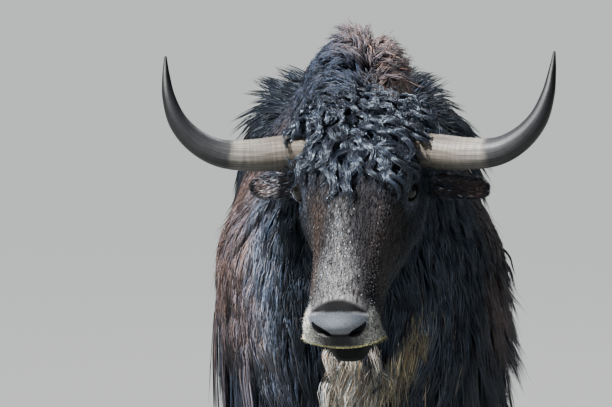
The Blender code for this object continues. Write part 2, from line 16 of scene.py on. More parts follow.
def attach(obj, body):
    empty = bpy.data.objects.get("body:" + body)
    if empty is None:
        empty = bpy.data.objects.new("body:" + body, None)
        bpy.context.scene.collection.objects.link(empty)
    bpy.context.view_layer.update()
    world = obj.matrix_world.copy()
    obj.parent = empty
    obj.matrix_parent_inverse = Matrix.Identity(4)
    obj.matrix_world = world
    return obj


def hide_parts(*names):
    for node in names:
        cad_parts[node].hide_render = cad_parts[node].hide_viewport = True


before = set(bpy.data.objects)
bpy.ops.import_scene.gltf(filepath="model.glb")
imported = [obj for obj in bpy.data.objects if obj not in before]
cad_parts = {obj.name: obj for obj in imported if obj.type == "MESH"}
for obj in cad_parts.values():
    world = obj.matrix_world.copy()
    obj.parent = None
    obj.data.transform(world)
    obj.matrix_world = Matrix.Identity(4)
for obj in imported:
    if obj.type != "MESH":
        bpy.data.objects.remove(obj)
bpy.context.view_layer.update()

# Camera: the photograph's view, from the front, a little above the head and looking down by 6 degrees.
# It frames the horns, hump and chest, 1.07 m wide at the head.
distance, tilt, half_width = 6.0, math.radians(6), 0.5355


def new_object(name, data):
    """An object with that data, at the origin."""
    made = bpy.data.objects.new(name, data)
    bpy.context.scene.collection.objects.link(made)
    return made


camera = new_object("camera", bpy.data.cameras.new("camera"))
bpy.context.scene.camera = camera
camera.data.sensor_fit = "HORIZONTAL"
camera.data.angle = 2 * math.atan(half_width / distance)
camera.location = (-0.098, -0.9 - distance * math.cos(tilt), 1.0715 + distance * math.sin(tilt))
camera.rotation_euler = (math.pi / 2 - tilt, 0, 0)


# Studio: a plain pale floor. One strong lamp high at the yak's right and ahead does for the sun, a faint one
# at its left and a weak blue sky fill the shade, and one behind lights the coat's edge.
def new_finish(name, values):
    """A material with these values on its shader's own sockets, and its node tree."""
    made = bpy.data.materials.new(name)
    made.use_nodes = True
    for socket, value in values.items():
        made.node_tree.nodes["Principled BSDF"].inputs[socket].default_value = value
    return made, made.node_tree


floor_mesh = bpy.data.meshes.new("floor")
floor_mesh.from_pydata([(-90, -90, 0), (90, -90, 0), (90, 90, 0), (-90, 90, 0)], [], [(0, 1, 2, 3)])
floor_mesh.materials.append(new_finish("floor", {"Base Color": (0.23, 0.24, 0.23, 1), "Roughness": 0.9})[0])
new_object("floor", floor_mesh)
world = bpy.data.worlds.new("studio")
world.use_nodes = True
world.node_tree.nodes["Background"].inputs["Color"].default_value = (0.55, 0.72, 1.0, 1)
world.node_tree.nodes["Background"].inputs["Strength"].default_value = 0.10
bpy.context.scene.world = world
aim = Vector((0.0, -0.5, 1.0))
for name, kind, place, power, size in (("key", "SUN", (-4.2, -2.9, 5.9), 12.5, math.radians(3)),
                                       ("fill", "AREA", (4.5, -5.0, 2.6), 6, 3.0),
                                       ("rim", "AREA", (1.2, 3.2, 4.6), 110, 1.6)):
    lamp = new_object(name, bpy.data.lights.new(name, kind))
    lamp.data.energy = power
    setattr(lamp.data, "angle" if kind == "SUN" else "size", size)
    lamp.location = place
    lamp.rotation_euler = (aim - Vector(place)).to_track_quat("-Z", "Y").to_euler()

# Skin: flesh of trunk, legs, tail and head in one closed surface. The real one is hide, here made of tubes
# through the same ribs as the CAD part, melted into one and drawn in by the depth of the coat.
DOWN = np.array([0.0, 0.0, -1.0])
POLL = np.array([0.0, -0.833, 1.232])
TRUNK = np.array([
    (-0.845, 1.100, -0.835, 1.055, 0.020, 0.0),
    (-0.800, 1.195, -0.770, 0.960, 0.095, 0.0),
    (-0.715, 1.228, -0.715, 0.860, 0.148, 0.1),
    (-0.615, 1.242, -0.665, 0.740, 0.190, 0.3),
    (-0.515, 1.268, -0.590, 0.625, 0.228, 0.7),
    (-0.400, 1.315, -0.460, 0.520, 0.262, 1.0),
    (-0.275, 1.335, -0.310, 0.462, 0.272, 1.0),
    (-0.150, 1.315, -0.150, 0.440, 0.275, 0.8),
    (0.030, 1.240, 0.040, 0.432, 0.276, 0.35),
    (0.240, 1.178, 0.240, 0.435, 0.278, 0.05),
    (0.440, 1.168, 0.440, 0.455, 0.278, 0.0),
    (0.620, 1.188, 0.610, 0.510, 0.276, 0.0),
    (0.780, 1.196, 0.760, 0.590, 0.270, 0.0),
    (0.900, 1.160, 0.880, 0.670, 0.244, 0.0),
    (0.980, 1.075, 0.970, 0.750, 0.180, 0.0),
    (1.012, 0.950, 1.008, 0.850, 0.070, 0.0),
])
SKULL = np.array([
    (-0.045, 0.055, 0.095, 0.030, 1.00, 0.00),
    (-0.030, 0.022, 0.125, 0.068, 0.80, 0.00),
    (0.000, 0.002, 0.150, 0.096, 0.70, -0.05),
    (0.050, -0.010, 0.172, 0.112, 0.64, -0.08),
    (0.100, -0.013, 0.186, 0.110, 0.62, -0.06),
    (0.150, -0.011, 0.192, 0.103, 0.62, -0.04),
    (0.200, -0.005, 0.186, 0.0815, 0.64, -0.06),
    (0.250, 0.000, 0.168, 0.0690, 0.66, -0.06),
    (0.304, 0.001, 0.148, 0.0630, 0.66, -0.02),
    (0.357, 0.000, 0.130, 0.0610, 0.64, 0.04),
    (0.399, -0.001, 0.117, 0.0600, 0.60, 0.14),
    (0.428, 0.002, 0.110, 0.0640, 0.56, 0.20),
    (0.449, 0.010, 0.107, 0.0640, 0.54, 0.22),
    (0.461, 0.026, 0.102, 0.0560, 0.60, 0.20),
    (0.467, 0.046, 0.088, 0.0340, 0.80, 0.12),
])
NOSE_END = 0.4655
JAW = np.array([
    (0.045, 0.130, 0.165, 0.030),
    (0.075, 0.120, 0.196, 0.066),
    (0.120, 0.118, 0.214, 0.078),
    (0.170, 0.118, 0.216, 0.074),
    (0.220, 0.118, 0.206, 0.061),
    (0.280, 0.118, 0.192, 0.050),
    (0.336, 0.117, 0.188, 0.045),
    (0.388, 0.1120, 0.187, 0.040),
    (0.418, 0.1040, 0.178, 0.034),
    (0.436, 0.1020, 0.162, 0.027),
    (0.446, 0.1060, 0.142, 0.018),
])
FRONT_LEG = np.array([
    (-0.265, 0.700, 0.060, 0.080),
    (-0.265, 0.610, 0.086, 0.112),
    (-0.275, 0.520, 0.080, 0.098),
    (-0.292, 0.420, 0.062, 0.072),
    (-0.305, 0.340, 0.057, 0.060),
    (-0.302, 0.270, 0.043, 0.045),
    (-0.300, 0.190, 0.039, 0.043),
    (-0.304, 0.135, 0.048, 0.052),
    (-0.318, 0.095, 0.046, 0.048),
    (-0.328, 0.062, 0.055, 0.058),
])
HIND_LEG = np.array([
    (0.740, 0.800, 0.050, 0.090),
    (0.740, 0.700, 0.074, 0.140),
    (0.765, 0.600, 0.074, 0.126),
    (0.830, 0.500, 0.056, 0.082),
    (0.885, 0.425, 0.048, 0.062),
    (0.880, 0.345, 0.042, 0.047),
    (0.858, 0.250, 0.038, 0.042),
    (0.842, 0.150, 0.046, 0.050),
    (0.826, 0.100, 0.045, 0.047),
    (0.815, 0.062, 0.054, 0.057),
])
TAIL = np.array([
    (0, 0.940, 1.075, 0.030),
    (0, 1.026, 1.058, 0.034),
    (0, 1.076, 0.960, 0.035),
    (0, 1.084, 0.840, 0.034),
    (0, 1.082, 0.720, 0.034),
    (0, 1.080, 0.600, 0.024),
])
EAR = np.array([
    (0.000, 0.0145, 0.0130),
    (0.030, 0.0195, 0.0135),
    (0.061, 0.0235, 0.0115),
    (0.092, 0.0240, 0.0095),
    (0.119, 0.0205, 0.0075),
    (0.135, 0.0115, 0.0045),
])


def spline(rows, t):
    """Catmull-Rom curve through the rows, read at t from 0 to len(rows) - 1."""
    t = np.atleast_1d(np.asarray(t, float))
    last = len(rows) - 1
    i = np.clip(np.floor(t).astype(int), 0, last - 1)
    f = (t - i)[:, None]
    before, start = rows[np.clip(i - 1, 0, last)], rows[i]
    end, after = rows[i + 1], rows[np.clip(i + 2, 0, last)]
    return 0.5 * (
        2 * start
        + (end - before) * f
        + (2 * before - 5 * start + 4 * end - after) * f**2
        + (3 * (start - end) + after - before) * f**3
    )


def ramp(low, high, value):
    """0 below low, 1 above high, and 3s^2 - 2s^3 between them."""
    share = np.clip((value - low) / (high - low), 0, 1)
    return share * share * (3 - 2 * share)


def unit(vector):
    return vector / np.maximum(np.linalg.norm(vector, axis=-1, keepdims=True), 1e-12)


def signed_power(value, power):
    return np.sign(value) * np.abs(value) ** power


def turns(count, offset=0.0):
    return (np.arange(count) + offset) * 2 * math.pi / count


def head_axes():
    """Head's frame for a face that slopes 45 degrees down, turned 9.5 and rolled 1.3 degrees: its rows are
    across to the yak's left, along the face to the nose, and down from the face; then the level frame."""
    pitch, yaw, roll = np.radians([45.0, 9.5, 1.3])
    ahead = np.array([-math.sin(yaw), -math.cos(yaw), 0])
    level = np.array([math.cos(yaw), -math.sin(yaw), 0])
    across = math.cos(roll) * level - math.sin(roll) * DOWN
    up = -math.cos(roll) * DOWN - math.sin(roll) * level
    along = math.cos(pitch) * ahead - math.sin(pitch) * up
    down = -math.sin(pitch) * ahead - math.cos(pitch) * up
    return np.array([across, along, down]), np.array([across, ahead, up])


FACE, LEVEL = head_axes()


def from_face(points):
    return np.asarray(points, float) @ FACE + POLL


def to_face(points):
    return (points - POLL) @ FACE.T


def mesh_object(name, points, faces):
    """Object of these points and faces, wound so that its volume is positive, and shaded smooth."""
    mesh = bpy.data.meshes.new(name)
    mesh.from_pydata(np.asarray(points).tolist(), [], faces)
    build = bmesh.new()
    build.from_mesh(mesh)
    if build.calc_volume(signed=True) < 0:
        bmesh.ops.reverse_faces(build, faces=build.faces)
    bmesh.ops.triangulate(build, faces=build.faces)
    build.to_mesh(mesh)
    build.free()
    mesh.shade_smooth()
    return new_object(name, mesh)


def tube(name, rings):
    """Closed tube through a stack of rings, shape (rings, points, 3), with a flat cap at each end."""
    count, around = rings.shape[:2]
    k, j = np.divmod(np.arange((count - 1) * around), around)
    here, side = k * around + j, k * around + (j + 1) % around
    faces = np.stack([here, side, side + around, here + around], -1).tolist()
    faces.append(list(range(around))[::-1])
    faces.append(list(range((count - 1) * around, count * around)))
    return mesh_object(name, rings.reshape(-1, 3), faces)


def round_tube(name, middle, radius, around):
    """Tube of round section along a middle line: middle + radius (cos a X + sin a Z) across the line."""
    lie = unit(np.gradient(middle, axis=0))
    across = unit(np.cross(lie, (0.0, 1.0, 0.13)))
    turn = turns(around)[None, :, None]
    ring = np.cos(turn) * across[:, None] + np.sin(turn) * np.cross(across, lie)[:, None]
    return tube(name, middle[:, None] + ring * np.asarray(radius)[:, None, None])


def trunk_point(t, angle):
    """Trunk at rib t and angle from the back line: an ellipse between back point and belly point, pinched
    to 1 - 0.50 of its width at the hump's crest and squarer at the rump."""
    y_top, z_top, y_low, z_low, wide, hump = spline(TRUNK, t).T
    c, s = np.cos(angle), np.sin(angle)
    narrow = 1 - 0.50 * hump * ramp(0.0, 0.75, c)
    up = (1 + c) / 2
    x = wide * signed_power(s, 0.9 - 0.22 * ramp(8, 11, t)) * narrow
    return np.stack([x, y_low + (y_top - y_low) * up, z_low + (z_top - z_low) * up], -1)


def bump(x, y, z, centre, size):
    """exp(-r^2) of the distance from centre, measured in sizes along each axis."""
    return np.exp(-(((x - centre[0]) / size[0]) ** 2 + ((y - centre[1]) / size[1]) ** 2
                    + ((z - centre[2]) / size[2]) ** 2))


def skull_point(t, angle):
    """Skull in the head's frame: superellipse hoops with the brow, the cheek's muscle, the crest that runs
    from the eye to the muzzle, the tear groove above it, the nostrils' raised wings and the swollen pad
    between them added, and cut off below the upper lip's edge."""
    along, top, low, wide, roundness, flare = spline(SKULL, t).T
    c, s = np.cos(angle), np.sin(angle)
    x = wide * signed_power(s, roundness) * (1 - flare * c)
    down = (top + low) / 2 - (low - top) / 2 * signed_power(c, roundness)
    side = np.abs(x)
    out = 0.006 * np.exp(-(((along - 0.120) / 0.026) ** 2) - ((down - 0.028) / 0.020) ** 2)
    out += 0.006 * np.exp(-(((along - 0.200) / 0.050) ** 2) - ((down - 0.120) / 0.035) ** 2)
    out += 0.004 * np.exp(-(((along - 0.255) / 0.040) ** 2) - ((down - 0.085) / 0.014) ** 2)
    out -= 0.005 * np.exp(-(((along - 0.235) / 0.045) ** 2) - ((down - 0.050) / 0.013) ** 2)
    out += 0.004 * bump(side, along, down, (0.058, 0.440, 0.050), (0.014, 0.025, 0.024))
    out += 0.008 * np.exp(-(((along - 0.440) / 0.020) ** 2) - ((down - 0.090) / 0.014) ** 2)
    rise = 0.0035 * bump(side, along, down, (0.030, 0.36, 0.0), (0.016, 0.07, 0.03))
    swell = 0.004 * bump(side, along, down, (0.0, 0.461, 0.026), (0.026, 0.03, 0.013))
    edge = NOSE_END - along + 0.085 - 0.022 * (side / 0.070) ** 2
    tuck = ramp(0.385, 0.415, along) * np.maximum(down - edge, 0)
    return np.stack([x + np.sign(s) * out, along + swell, down - rise - tuck], -1)


def ball(name, centre, radius, around=40, stacks=26):
    """Closed ball: centre + radius (sin b cos a, sin b sin a, cos b)."""
    tilt = ((np.arange(stacks) + 0.5) * math.pi / stacks)[:, None]
    turn = turns(around)[None]
    rings = np.stack([np.sin(tilt) * np.cos(turn), np.sin(tilt) * np.sin(turn), np.cos(tilt) + 0 * turn], -1)
    return tube(name, np.asarray(centre) + radius * rings)


def eye_centre(side):
    return from_face((side * 0.091 - 0.005, 0.143, 0.054))


def eye_look(side):
    """Way the eye looks, then its inner corner's and its upper lid's way."""
    look = unit(np.array([side * 0.68, 0.56, -0.48]) @ FACE)
    inner = np.array([side * -0.30, 0.90, 0.25]) @ FACE
    inner = unit(inner - look * (inner @ look))
    return look, inner, np.cross(look, inner)


def ear_frame(side):
    """Lie of the ear, the way its cup faces, its upper edge's way, and its root."""
    sweep = math.radians({1: 4.0, -1: 24.0}[side])
    lie = np.array([side * math.cos(sweep), -math.sin(sweep), -0.10]) @ LEVEL
    front = unit(np.array([side * math.sin(sweep), math.cos(sweep), -0.25]) @ LEVEL)
    return lie, front, unit(np.cross(lie, front)), from_face((side * 0.088, 0.092, 0.094))


def ear_rings(side, grow, forward, first, around=40, count=40):
    """Ellipses along the ear, grown by grow and moved ahead; the cup is cut by smaller ones."""
    out, high, thick = spline(EAR, np.linspace(first, len(EAR) - 1, count)).T
    lie, front, upper, root = ear_frame(side)
    middle = root + out[:, None] * lie
    turn = turns(around)[None, :, None]
    high, thick = (np.maximum(half + grow, 0.0008)[:, None, None] for half in (high, thick))
    return middle[:, None] + np.cos(turn) * high * upper + np.sin(turn) * thick * front + front * forward


def change(obj, kind, **settings):
    """Adds one modifier, and turns what it makes into the object's own mesh."""
    step = obj.modifiers.new(kind, kind)
    for setting, value in settings.items():
        setattr(step, setting, value)
    graph = bpy.context.evaluated_depsgraph_get()
    mesh = bpy.data.meshes.new_from_object(obj.evaluated_get(graph))
    obj.modifiers.clear()
    obj.data = mesh


def combine(obj, others, operation):
    """Boolean of obj with all the others, which are then removed."""
    for other in others:
        change(obj, "BOOLEAN", operation=operation, object=other, solver="MANIFOLD")
        bpy.data.objects.remove(other)


def melt(name, pieces, voxel, rounds):
    """Joins closed pieces into one surface on a grid of that size, and smooths it."""
    points, faces = [], []
    for piece in pieces:
        first = sum(len(part) for part in points)
        points.append(np.array([vertex.co for vertex in piece.data.vertices]))
        faces += [[first + i for i in face.vertices] for face in piece.data.polygons]
        bpy.data.objects.remove(piece)
    mesh = bpy.data.meshes.new(name)
    mesh.from_pydata(np.concatenate(points).tolist(), [], faces)
    made = new_object(name, mesh)
    change(made, "REMESH", mode="VOXEL", voxel_size=voxel)
    change(made, "SMOOTH", factor=0.5, iterations=rounds)
    return made


def points_of(obj):
    """Corners and corner normals of a mesh as two arrays."""
    count = len(obj.data.vertices)
    points, normals = np.empty(count * 3), np.empty(count * 3)
    obj.data.vertices.foreach_get("co", points)
    obj.data.vertices.foreach_get("normal", normals)
    return points.reshape(-1, 3), normals.reshape(-1, 3)


def tree_of(obj):
    """The mesh as one searchable surface."""
    points = [vertex.co.copy() for vertex in obj.data.vertices]
    return BVHTree.FromPolygons(points, [tuple(face.vertices) for face in obj.data.polygons])


def nearest(tree, points):
    """For each point the closest place on the surface and the way out of it there."""
    found = [tree.find_nearest(Vector(point)) for point in points.tolist()]
    return np.array([hit[0] for hit in found]), np.array([hit[1] for hit in found])


trunk = tube("trunk", np.array([trunk_point(np.full(96, t), turns(96)) for t in np.linspace(0.6, 15, 130)]))
limbs = []
for rows in (FRONT_LEG, HIND_LEG):
    y, z, wide, root_shade = (column[:, None] for column in spline(rows, np.linspace(0, len(rows) - 1, 60)).T)
    for side in (1, -1):
        turn = turns(36)
        limbs.append(tube("leg", np.stack([side * 0.150 + wide * np.cos(turn), y + root_shade * np.sin(turn),
                                           z + 0 * turn], -1)))
tail_line = spline(TAIL, np.linspace(0, len(TAIL) - 1, 40))
tail_core = round_tube("tail_core", tail_line[:, :3], tail_line[:, 3] * 0.8, 24)
body = melt("body", [trunk, tail_core] + limbs, voxel=0.0125, rounds=7)
points, normals = points_of(body)
depth = 0.004 + 0.008 * ramp(0.35, 0.60, points[:, 2])
points = points - normals * depth[:, None]
x, y, z = points.T
points[:, 0] += 0.016 * ramp(-0.05, -0.15, x) * ramp(0.1, 0.4, y) * ramp(0.80, 0.95, z)
body.data.vertices.foreach_set("co", points.ravel())

skull = tube("skull", np.array([from_face(skull_point(np.full(120, t), turns(120, 0.5)))
                                for t in np.linspace(0, 14, 160)]))
along, top, low, wide = (column[:, None] for column in spline(JAW, np.linspace(0, 10, 90)).T)
turn = turns(80, 0.5)
jaw = tube("jaw", from_face(np.stack([
    wide * signed_power(np.sin(turn), 0.75), along + 0 * turn,
    (top + low) / 2 - (low - top) / 2 * signed_power(np.cos(turn), 0.75)], -1)))
ears = []
for side in (1, -1):
    ear = tube("ear", ear_rings(side, 0.0, 0.0, 0.0))
    combine(ear, [tube("cup", ear_rings(side, -0.0030, 0.0074, 0.8))], "DIFFERENCE")
    ears.append(ear)
EYE_RADIUS = 0.0189
lids = [ball("lid", eye_centre(side), EYE_RADIUS + 0.0037) for side in (1, -1)]
skin = melt("skin", [skull, jaw] + lids + ears, voxel=0.0031, rounds=3)
points, normals = points_of(skin)
skin.data.vertices.foreach_set("co", (points - normals * 0.0015).ravel())

cutters = []
for side in (1, -1):
    look, inner, upper = eye_look(side)
    u = np.linspace(-1, 1, 25)
    outline = np.concatenate([np.stack([u, 1 - np.abs(u) ** 2.2], -1),
                              np.stack([u, np.abs(u) ** 2.2 - 1], -1)[-2:0:-1]])
    flat = outline[:, :1] * inner * 0.019 + outline[:, 1:] * upper * 0.0130
    flat = flat + eye_centre(side)
    cutters.append(tube("slit", np.array([flat + look * reach for reach in (0.006, 0.034)])))
    cutters.append(ball("socket", eye_centre(side), EYE_RADIUS + 0.0004))
    u = np.linspace(0, 1, 24)
    core = np.stack([0.0515 - 0.0325 * u, 0.022 + 0.021 * (1 - (1 - u) ** 1.8)], -1)
    half = 0.0088 * np.sin(math.pi * (0.03 + 0.88 * u ** 1.1))[:, None] ** 0.8
    run = unit(np.gradient(core, axis=0))
    aside = np.stack([-run[:, 1], run[:, 0]], -1)
    outline = np.concatenate([core + aside * half, (core - aside * half)[::-1]])
    cutters.append(tube("nostril", np.array([
        from_face(np.stack([side * (outline[:, 0] - 0.001 * k), np.full(len(outline), 0.490 - 0.007 * k),
                            outline[:, 1] + 0.0005 * k], -1)) for k in range(10)])))
combine(skin, cutters, "DIFFERENCE")
head_tree = tree_of(skin)
combine(skin, [body], "UNION")
skin.name = "skin"
skin.data.shade_smooth()


def on_head(points):
    """1 on the head and ears, 0 on the rest of the body."""
    return (np.linalg.norm(nearest(head_tree, points)[0] - points, axis=-1) < 0.0008).astype(float)


def on_ear(points):
    """1 on the ears' outer part, 0 at the skull."""
    across, along, down = to_face(points).T
    return ramp(0.108, 0.122, np.abs(across)) * ramp(0.20, 0.16, along) * ramp(0.05, 0.065, down)


def mix(base, top, share):
    """Base where share is 0, top where it is 1."""
    return base + (np.asarray(top) - base) * share[:, None]


def frosting(across, along):
    """White hair along the nose: exp(-(offset / width)^2) from a line that drifts to the middle. It lies on
    the yak's right, the sunlit side, so the frost is partly painted light.
    """
    width = 0.014 + 0.020 * ramp(0.24, 0.41, along)
    return np.exp(-((across + 0.019 - 0.06 * (along - 0.2)) / width) ** 2) * ramp(0.15, 0.27, along)


def markings_and_painted_light(points, head):
    """The coat's colours by place: black with a blue cast that is painted sky sheen, a painted bluish sheen
    high on both sides of the chest and on the hump's right side, a painted shadow of the face on the right of
    the chest, brown bands over shoulders, left of the hump and upper leg, a pale brown crest, a cream throat
    with a tan streak, and a dark face with frost along the nose, a brown cheek on the face's left made
    lighter as painted fill light, pale fur beside the nose painted darker on the yak's left as painted shade,
    a yellowish lip, a chin painted black as painted shade, and brown ears."""
    x, y, z = points.T
    wander = 0.5 + 0.5 * np.sin(9 * y + 5 * np.sin(7 * z) + 3 * x) * np.sin(13 * z + 4 * x + 1)
    patches = 0.5 + 0.5 * np.sin(23 * y + 3 * np.sin(19 * z)) * np.sin(17 * x + 29 * z + 2 * np.sin(11 * y))
    # Painted sheen: bluish highlights high on both sides of the chest, weaker on the yak's left.
    painted_sheen = np.maximum(bump(x, y, z, (-0.175, -0.60, 0.95), (0.045, 0.16, 0.15)),
                        bump(x, y, z, (0.125, -0.60, 0.92), (0.050, 0.16, 0.15)))
    # Painted shadow: the face's shadow on the right of the chest, painted black.
    painted_shadow = bump(x, y, z, (-0.115, -0.64, 0.87), (0.030, 0.10, 0.09))
    right = ramp(0, -0.1, x)
    strong = 0.25 + 0.45 * right - 0.2 * ramp(-0.1, 0.3, y)
    band = ramp(0.76, 0.92, z) * ramp(1.16, 1.04, z) * ramp(0.50, 0.05, y)
    band = band * ramp(0.15 - 0.035 * right, 0.20 - 0.035 * right, np.abs(x))
    band = band * (strong + (1 - strong) * wander) * ramp(-0.60 - 0.06 * right, -0.50 - 0.08 * right, y)
    shoulder = bump(np.abs(x), y, z, (0.17, -0.30, 1.19), (0.07, 0.20, 0.07))
    hump = ramp(0.005, 0.045, x) * ramp(1.10, 1.20, z) * ramp(0.25, 0.05, y) * ramp(-0.66, -0.50, y)
    rump = ramp(0.10, 0.30, y) * ramp(0.0, -0.10, x) * ramp(0.85, 1.0, z)
    # Painted sheen: a bluish glint painted on the hump's right side.
    glint = ramp(0.03, -0.01, x) * ramp(1.14, 1.24, z) * ramp(0.25, 0.05, y)
    crest = ramp(0.060, 0.022, np.abs(x - 0.038)) * ramp(1.265, 1.32, z) * (0.6 + 0.4 * patches)
    streak = ramp(0.026, 0.012, np.abs(x - 0.080 - 0.53 * (z - 0.81))) * ramp(0.74, 0.78, z)
    throat = ramp(0.060, 0.038, np.abs(x + 0.012)) * ramp(0.42, 0.55, z) * ramp(0.84, 0.80, z)
    # The blue cast of the black is painted sky sheen.
    black, brown = np.array([0.0150, 0.0180, 0.0270]), np.array([0.150, 0.096, 0.084])
    colour = black + 0 * points
    for tone, share in ((2.2 * black, 0.4 * patches),
                        ((0.270, 0.305, 0.400), painted_sheen * (1 - 0.85 * ramp(-0.05, 0.05, x))),
                        ((0, 0, 0), 0.6 * painted_shadow),
                        (brown * (1 + 0.45 * right)[:, None], 0.85 * band),
                        ((0.20, 0.135, 0.120), 0.8 * shoulder),
                        ((0.200, 0.140, 0.130), 0.9 * hump),
                        ((0, 0, 0), 0.55 * rump),
                        ((0.045, 0.053, 0.078), glint),
                        ((0.34, 0.25, 0.24), 0.9 * crest),
                        ((0.26, 0.220, 0.145), 0.9 * streak * ramp(0.90, 0.86, z) * ramp(-0.5, -0.6, y)),
                        ((0.52, 0.46, 0.39), throat * ramp(-0.5, -0.57, y))):
        colour = mix(colour, tone, share)
    across, along, down = to_face(points).T
    front, low = down + along - NOSE_END, ramp(0.12, 0.05, down)
    rim = ramp(0.035, 0.055, -across) * ramp(0.16, 0.24, along) * ramp(0.43, 0.38, along) * low
    # Brown on the face's left, made lighter as painted fill light for that shaded side.
    brown_and_painted_fill = ramp(0.03, 0.06, across) * ramp(0.18, 0.24, along) * ramp(0.40, 0.33, along) * low
    clump = np.sin(150 * along + 4 * np.sin(130 * across)) * np.sin(210 * across + 3 * np.sin(90 * along))
    frost = frosting(across, along) * low * (0.30 + 0.26 * ramp(0.26, 0.38, along)) * (1 + 0.3 * clump)
    edge = 0.083 - 0.022 * (across / 0.070) ** 2
    wing = ramp(0.046, 0.053, np.abs(across)) * ramp(-0.045, -0.012, front) * ramp(0.40, 0.43, along)
    corner = ramp(0.026, 0.052, np.abs(across)) * ramp(0.020, 0.045, front) * ramp(0.40, 0.425, along)
    pale = np.maximum(wing, corner) * ramp(0.0005, -0.002, front - edge) * ramp(0.125, 0.112, down)
    # Below the lip's edge, painted black as painted shade.
    chin = ramp(0.0, 0.004, front - edge) * ramp(0.36, 0.40, along)
    lip = ramp(0.0045, 0.0015, np.abs(front - edge + 0.003))
    lip = lip * ramp(0.39, 0.42, along) * ramp(0.120, 0.110, down)
    face = np.array([0.028, 0.032, 0.044]) + 0 * points
    for tone, share in (((0.023, 0.021, 0.023), ramp(0.12, 0.20, along)),
                        ((0.050, 0.034, 0.027), 0.9 * rim),
                        ((0.070, 0.056, 0.054), 0.8 * brown_and_painted_fill),
                        ((0.27, 0.265, 0.265), frost),
                        # The pale fur is painted darker on the yak's left: painted shade.
                        ((0.41, 0.405, 0.375), (0.9 - 0.45 * ramp(0.0, 0.03, across)) * pale),
                        ((0.003, 0.003, 0.004), chin),
                        ((0.36, 0.33, 0.15), 0.75 * lip)):
        face = mix(face, tone, share)
    for side in (1, -1):
        lie, ahead, upper, root = ear_frame(side)
        out, depth, high = ((points - root) @ np.array([lie, ahead, upper]).T).T
        cup = on_ear(points) * (side * across > 0) * ramp(0.024, 0.040, out) * ramp(0.128, 0.110, out)
        cup = cup * ramp(0.019, 0.012, np.abs(high)) * ramp(-0.004, 0.001, depth)
        face = mix(face, (0.19, 0.125, 0.110), 0.85 * cup)
    return mix(colour, face, head)


def paint(obj, colours):
    """Stores one colour a corner as the attribute tint, which the materials read."""
    tint = obj.data.attributes.new("tint", "FLOAT_COLOR", "POINT")
    tint.data.foreach_set("color", np.concatenate([colours, np.ones((len(colours), 1))], -1).ravel())


def add(tree, kind, inputs, **settings):
    """Adds one shader node. Each input is a value, or the output of an earlier node."""
    made = tree.nodes.new("ShaderNode" + kind)
    for setting, value in settings.items():
        setattr(made, setting, value)
    for socket, value in inputs.items():
        if isinstance(value, bpy.types.NodeSocket):
            tree.links.new(value, made.inputs[socket])
        else:
            made.inputs[socket].default_value = value
    return made


def cover(tree, colour, height, strength, relief):
    """Gives the tree's shader a colour, and bumps that rise relief where height is 1."""
    bumps = add(tree, "Bump", {"Strength": strength, "Distance": relief, "Height": height})
    shader = tree.nodes["Principled BSDF"]
    tree.links.new(colour, shader.inputs["Base Color"])
    tree.links.new(bumps.outputs["Normal"], shader.inputs["Normal"])


mottle = bpy.data.node_groups.new("mottle", "ShaderNodeTree")
for way, kind, sockets in (("INPUT", "Color", ("Colour",)), ("INPUT", "Vector", ("Vector",)),
                           ("INPUT", "Float", ("Scale", "Low", "High")),
                           ("OUTPUT", "Color", ("Colour",)), ("OUTPUT", "Float", ("Height",))):
    for socket in sockets:
        mottle.interface.new_socket(socket, in_out=way, socket_type="NodeSocket" + kind)
given, result = mottle.nodes.new("NodeGroupInput").outputs, mottle.nodes.new("NodeGroupOutput").inputs
noise = add(mottle, "TexNoise", {"Vector": given["Vector"], "Scale": given["Scale"], "Detail": 4})
noise = noise.outputs["Fac"]
light = add(mottle, "MapRange", {"Value": noise, "From Min": 0.3, "From Max": 0.7, "To Min": given["Low"],
                                 "To Max": given["High"]})
tone = add(mottle, "VectorMath", {0: given["Colour"], "Scale": light.outputs["Result"]}, operation="SCALE")
mottle.links.new(tone.outputs["Vector"], result["Colour"])
mottle.links.new(noise, result["Height"])


def finish_of(name, values, scale, low, high, relief=0.001, stretch=None):
    """Hide, hair or eye: the attribute tint mottled by noise, which also raises small bumps. With stretch the
    noise follows the map strand, drawn out by that much along each hair."""
    made, tree = new_finish(name, values)
    tint = add(tree, "Attribute", {}, attribute_name="tint")
    if stretch:
        along_hair = add(tree, "UVMap", {}, uv_map="strand").outputs["UV"]
        place = add(tree, "Mapping", {"Scale": (1, 1 / stretch, 1), "Vector": along_hair}).outputs["Vector"]
    else:
        place = add(tree, "TexCoord", {}).outputs["Object"]
    spots = add(tree, "Group", {"Colour": tint.outputs["Color"], "Vector": place, "Scale": scale, "Low": low,
                                "High": high}, node_tree=mottle, name="spots")
    cover(tree, spots.outputs["Colour"], spots.outputs["Height"], 0.6, relief)
    return made


points, normals = points_of(skin)
head_share = on_head(points)
across, along, down = to_face(points).T
side, front = np.abs(across + 0.001), down + along - NOSE_END
muzzle = head_share * ramp(0.39, 0.42, along) * ramp(0.125, 0.112, down)
brim = 0.009 * (side / 0.050) ** 2 - 0.014
cap = 0.032 * np.maximum(1 - (side / 0.050) ** 2, 0) ** 0.7
leather = muzzle * ramp(-0.002, 0.009, front - brim + cap) * ramp(0.006, -0.001, front - brim)
leather = leather * ramp(0.052, 0.044, side)
pad_edge = 0.042 * np.sqrt(np.maximum(1 - (side / 0.052) ** 2, 0))
pad = muzzle * ramp(-0.002, 0.004, front - brim) * ramp(0.003, -0.002, front - pad_edge)
pad = pad * ramp(0.054, 0.048, side)
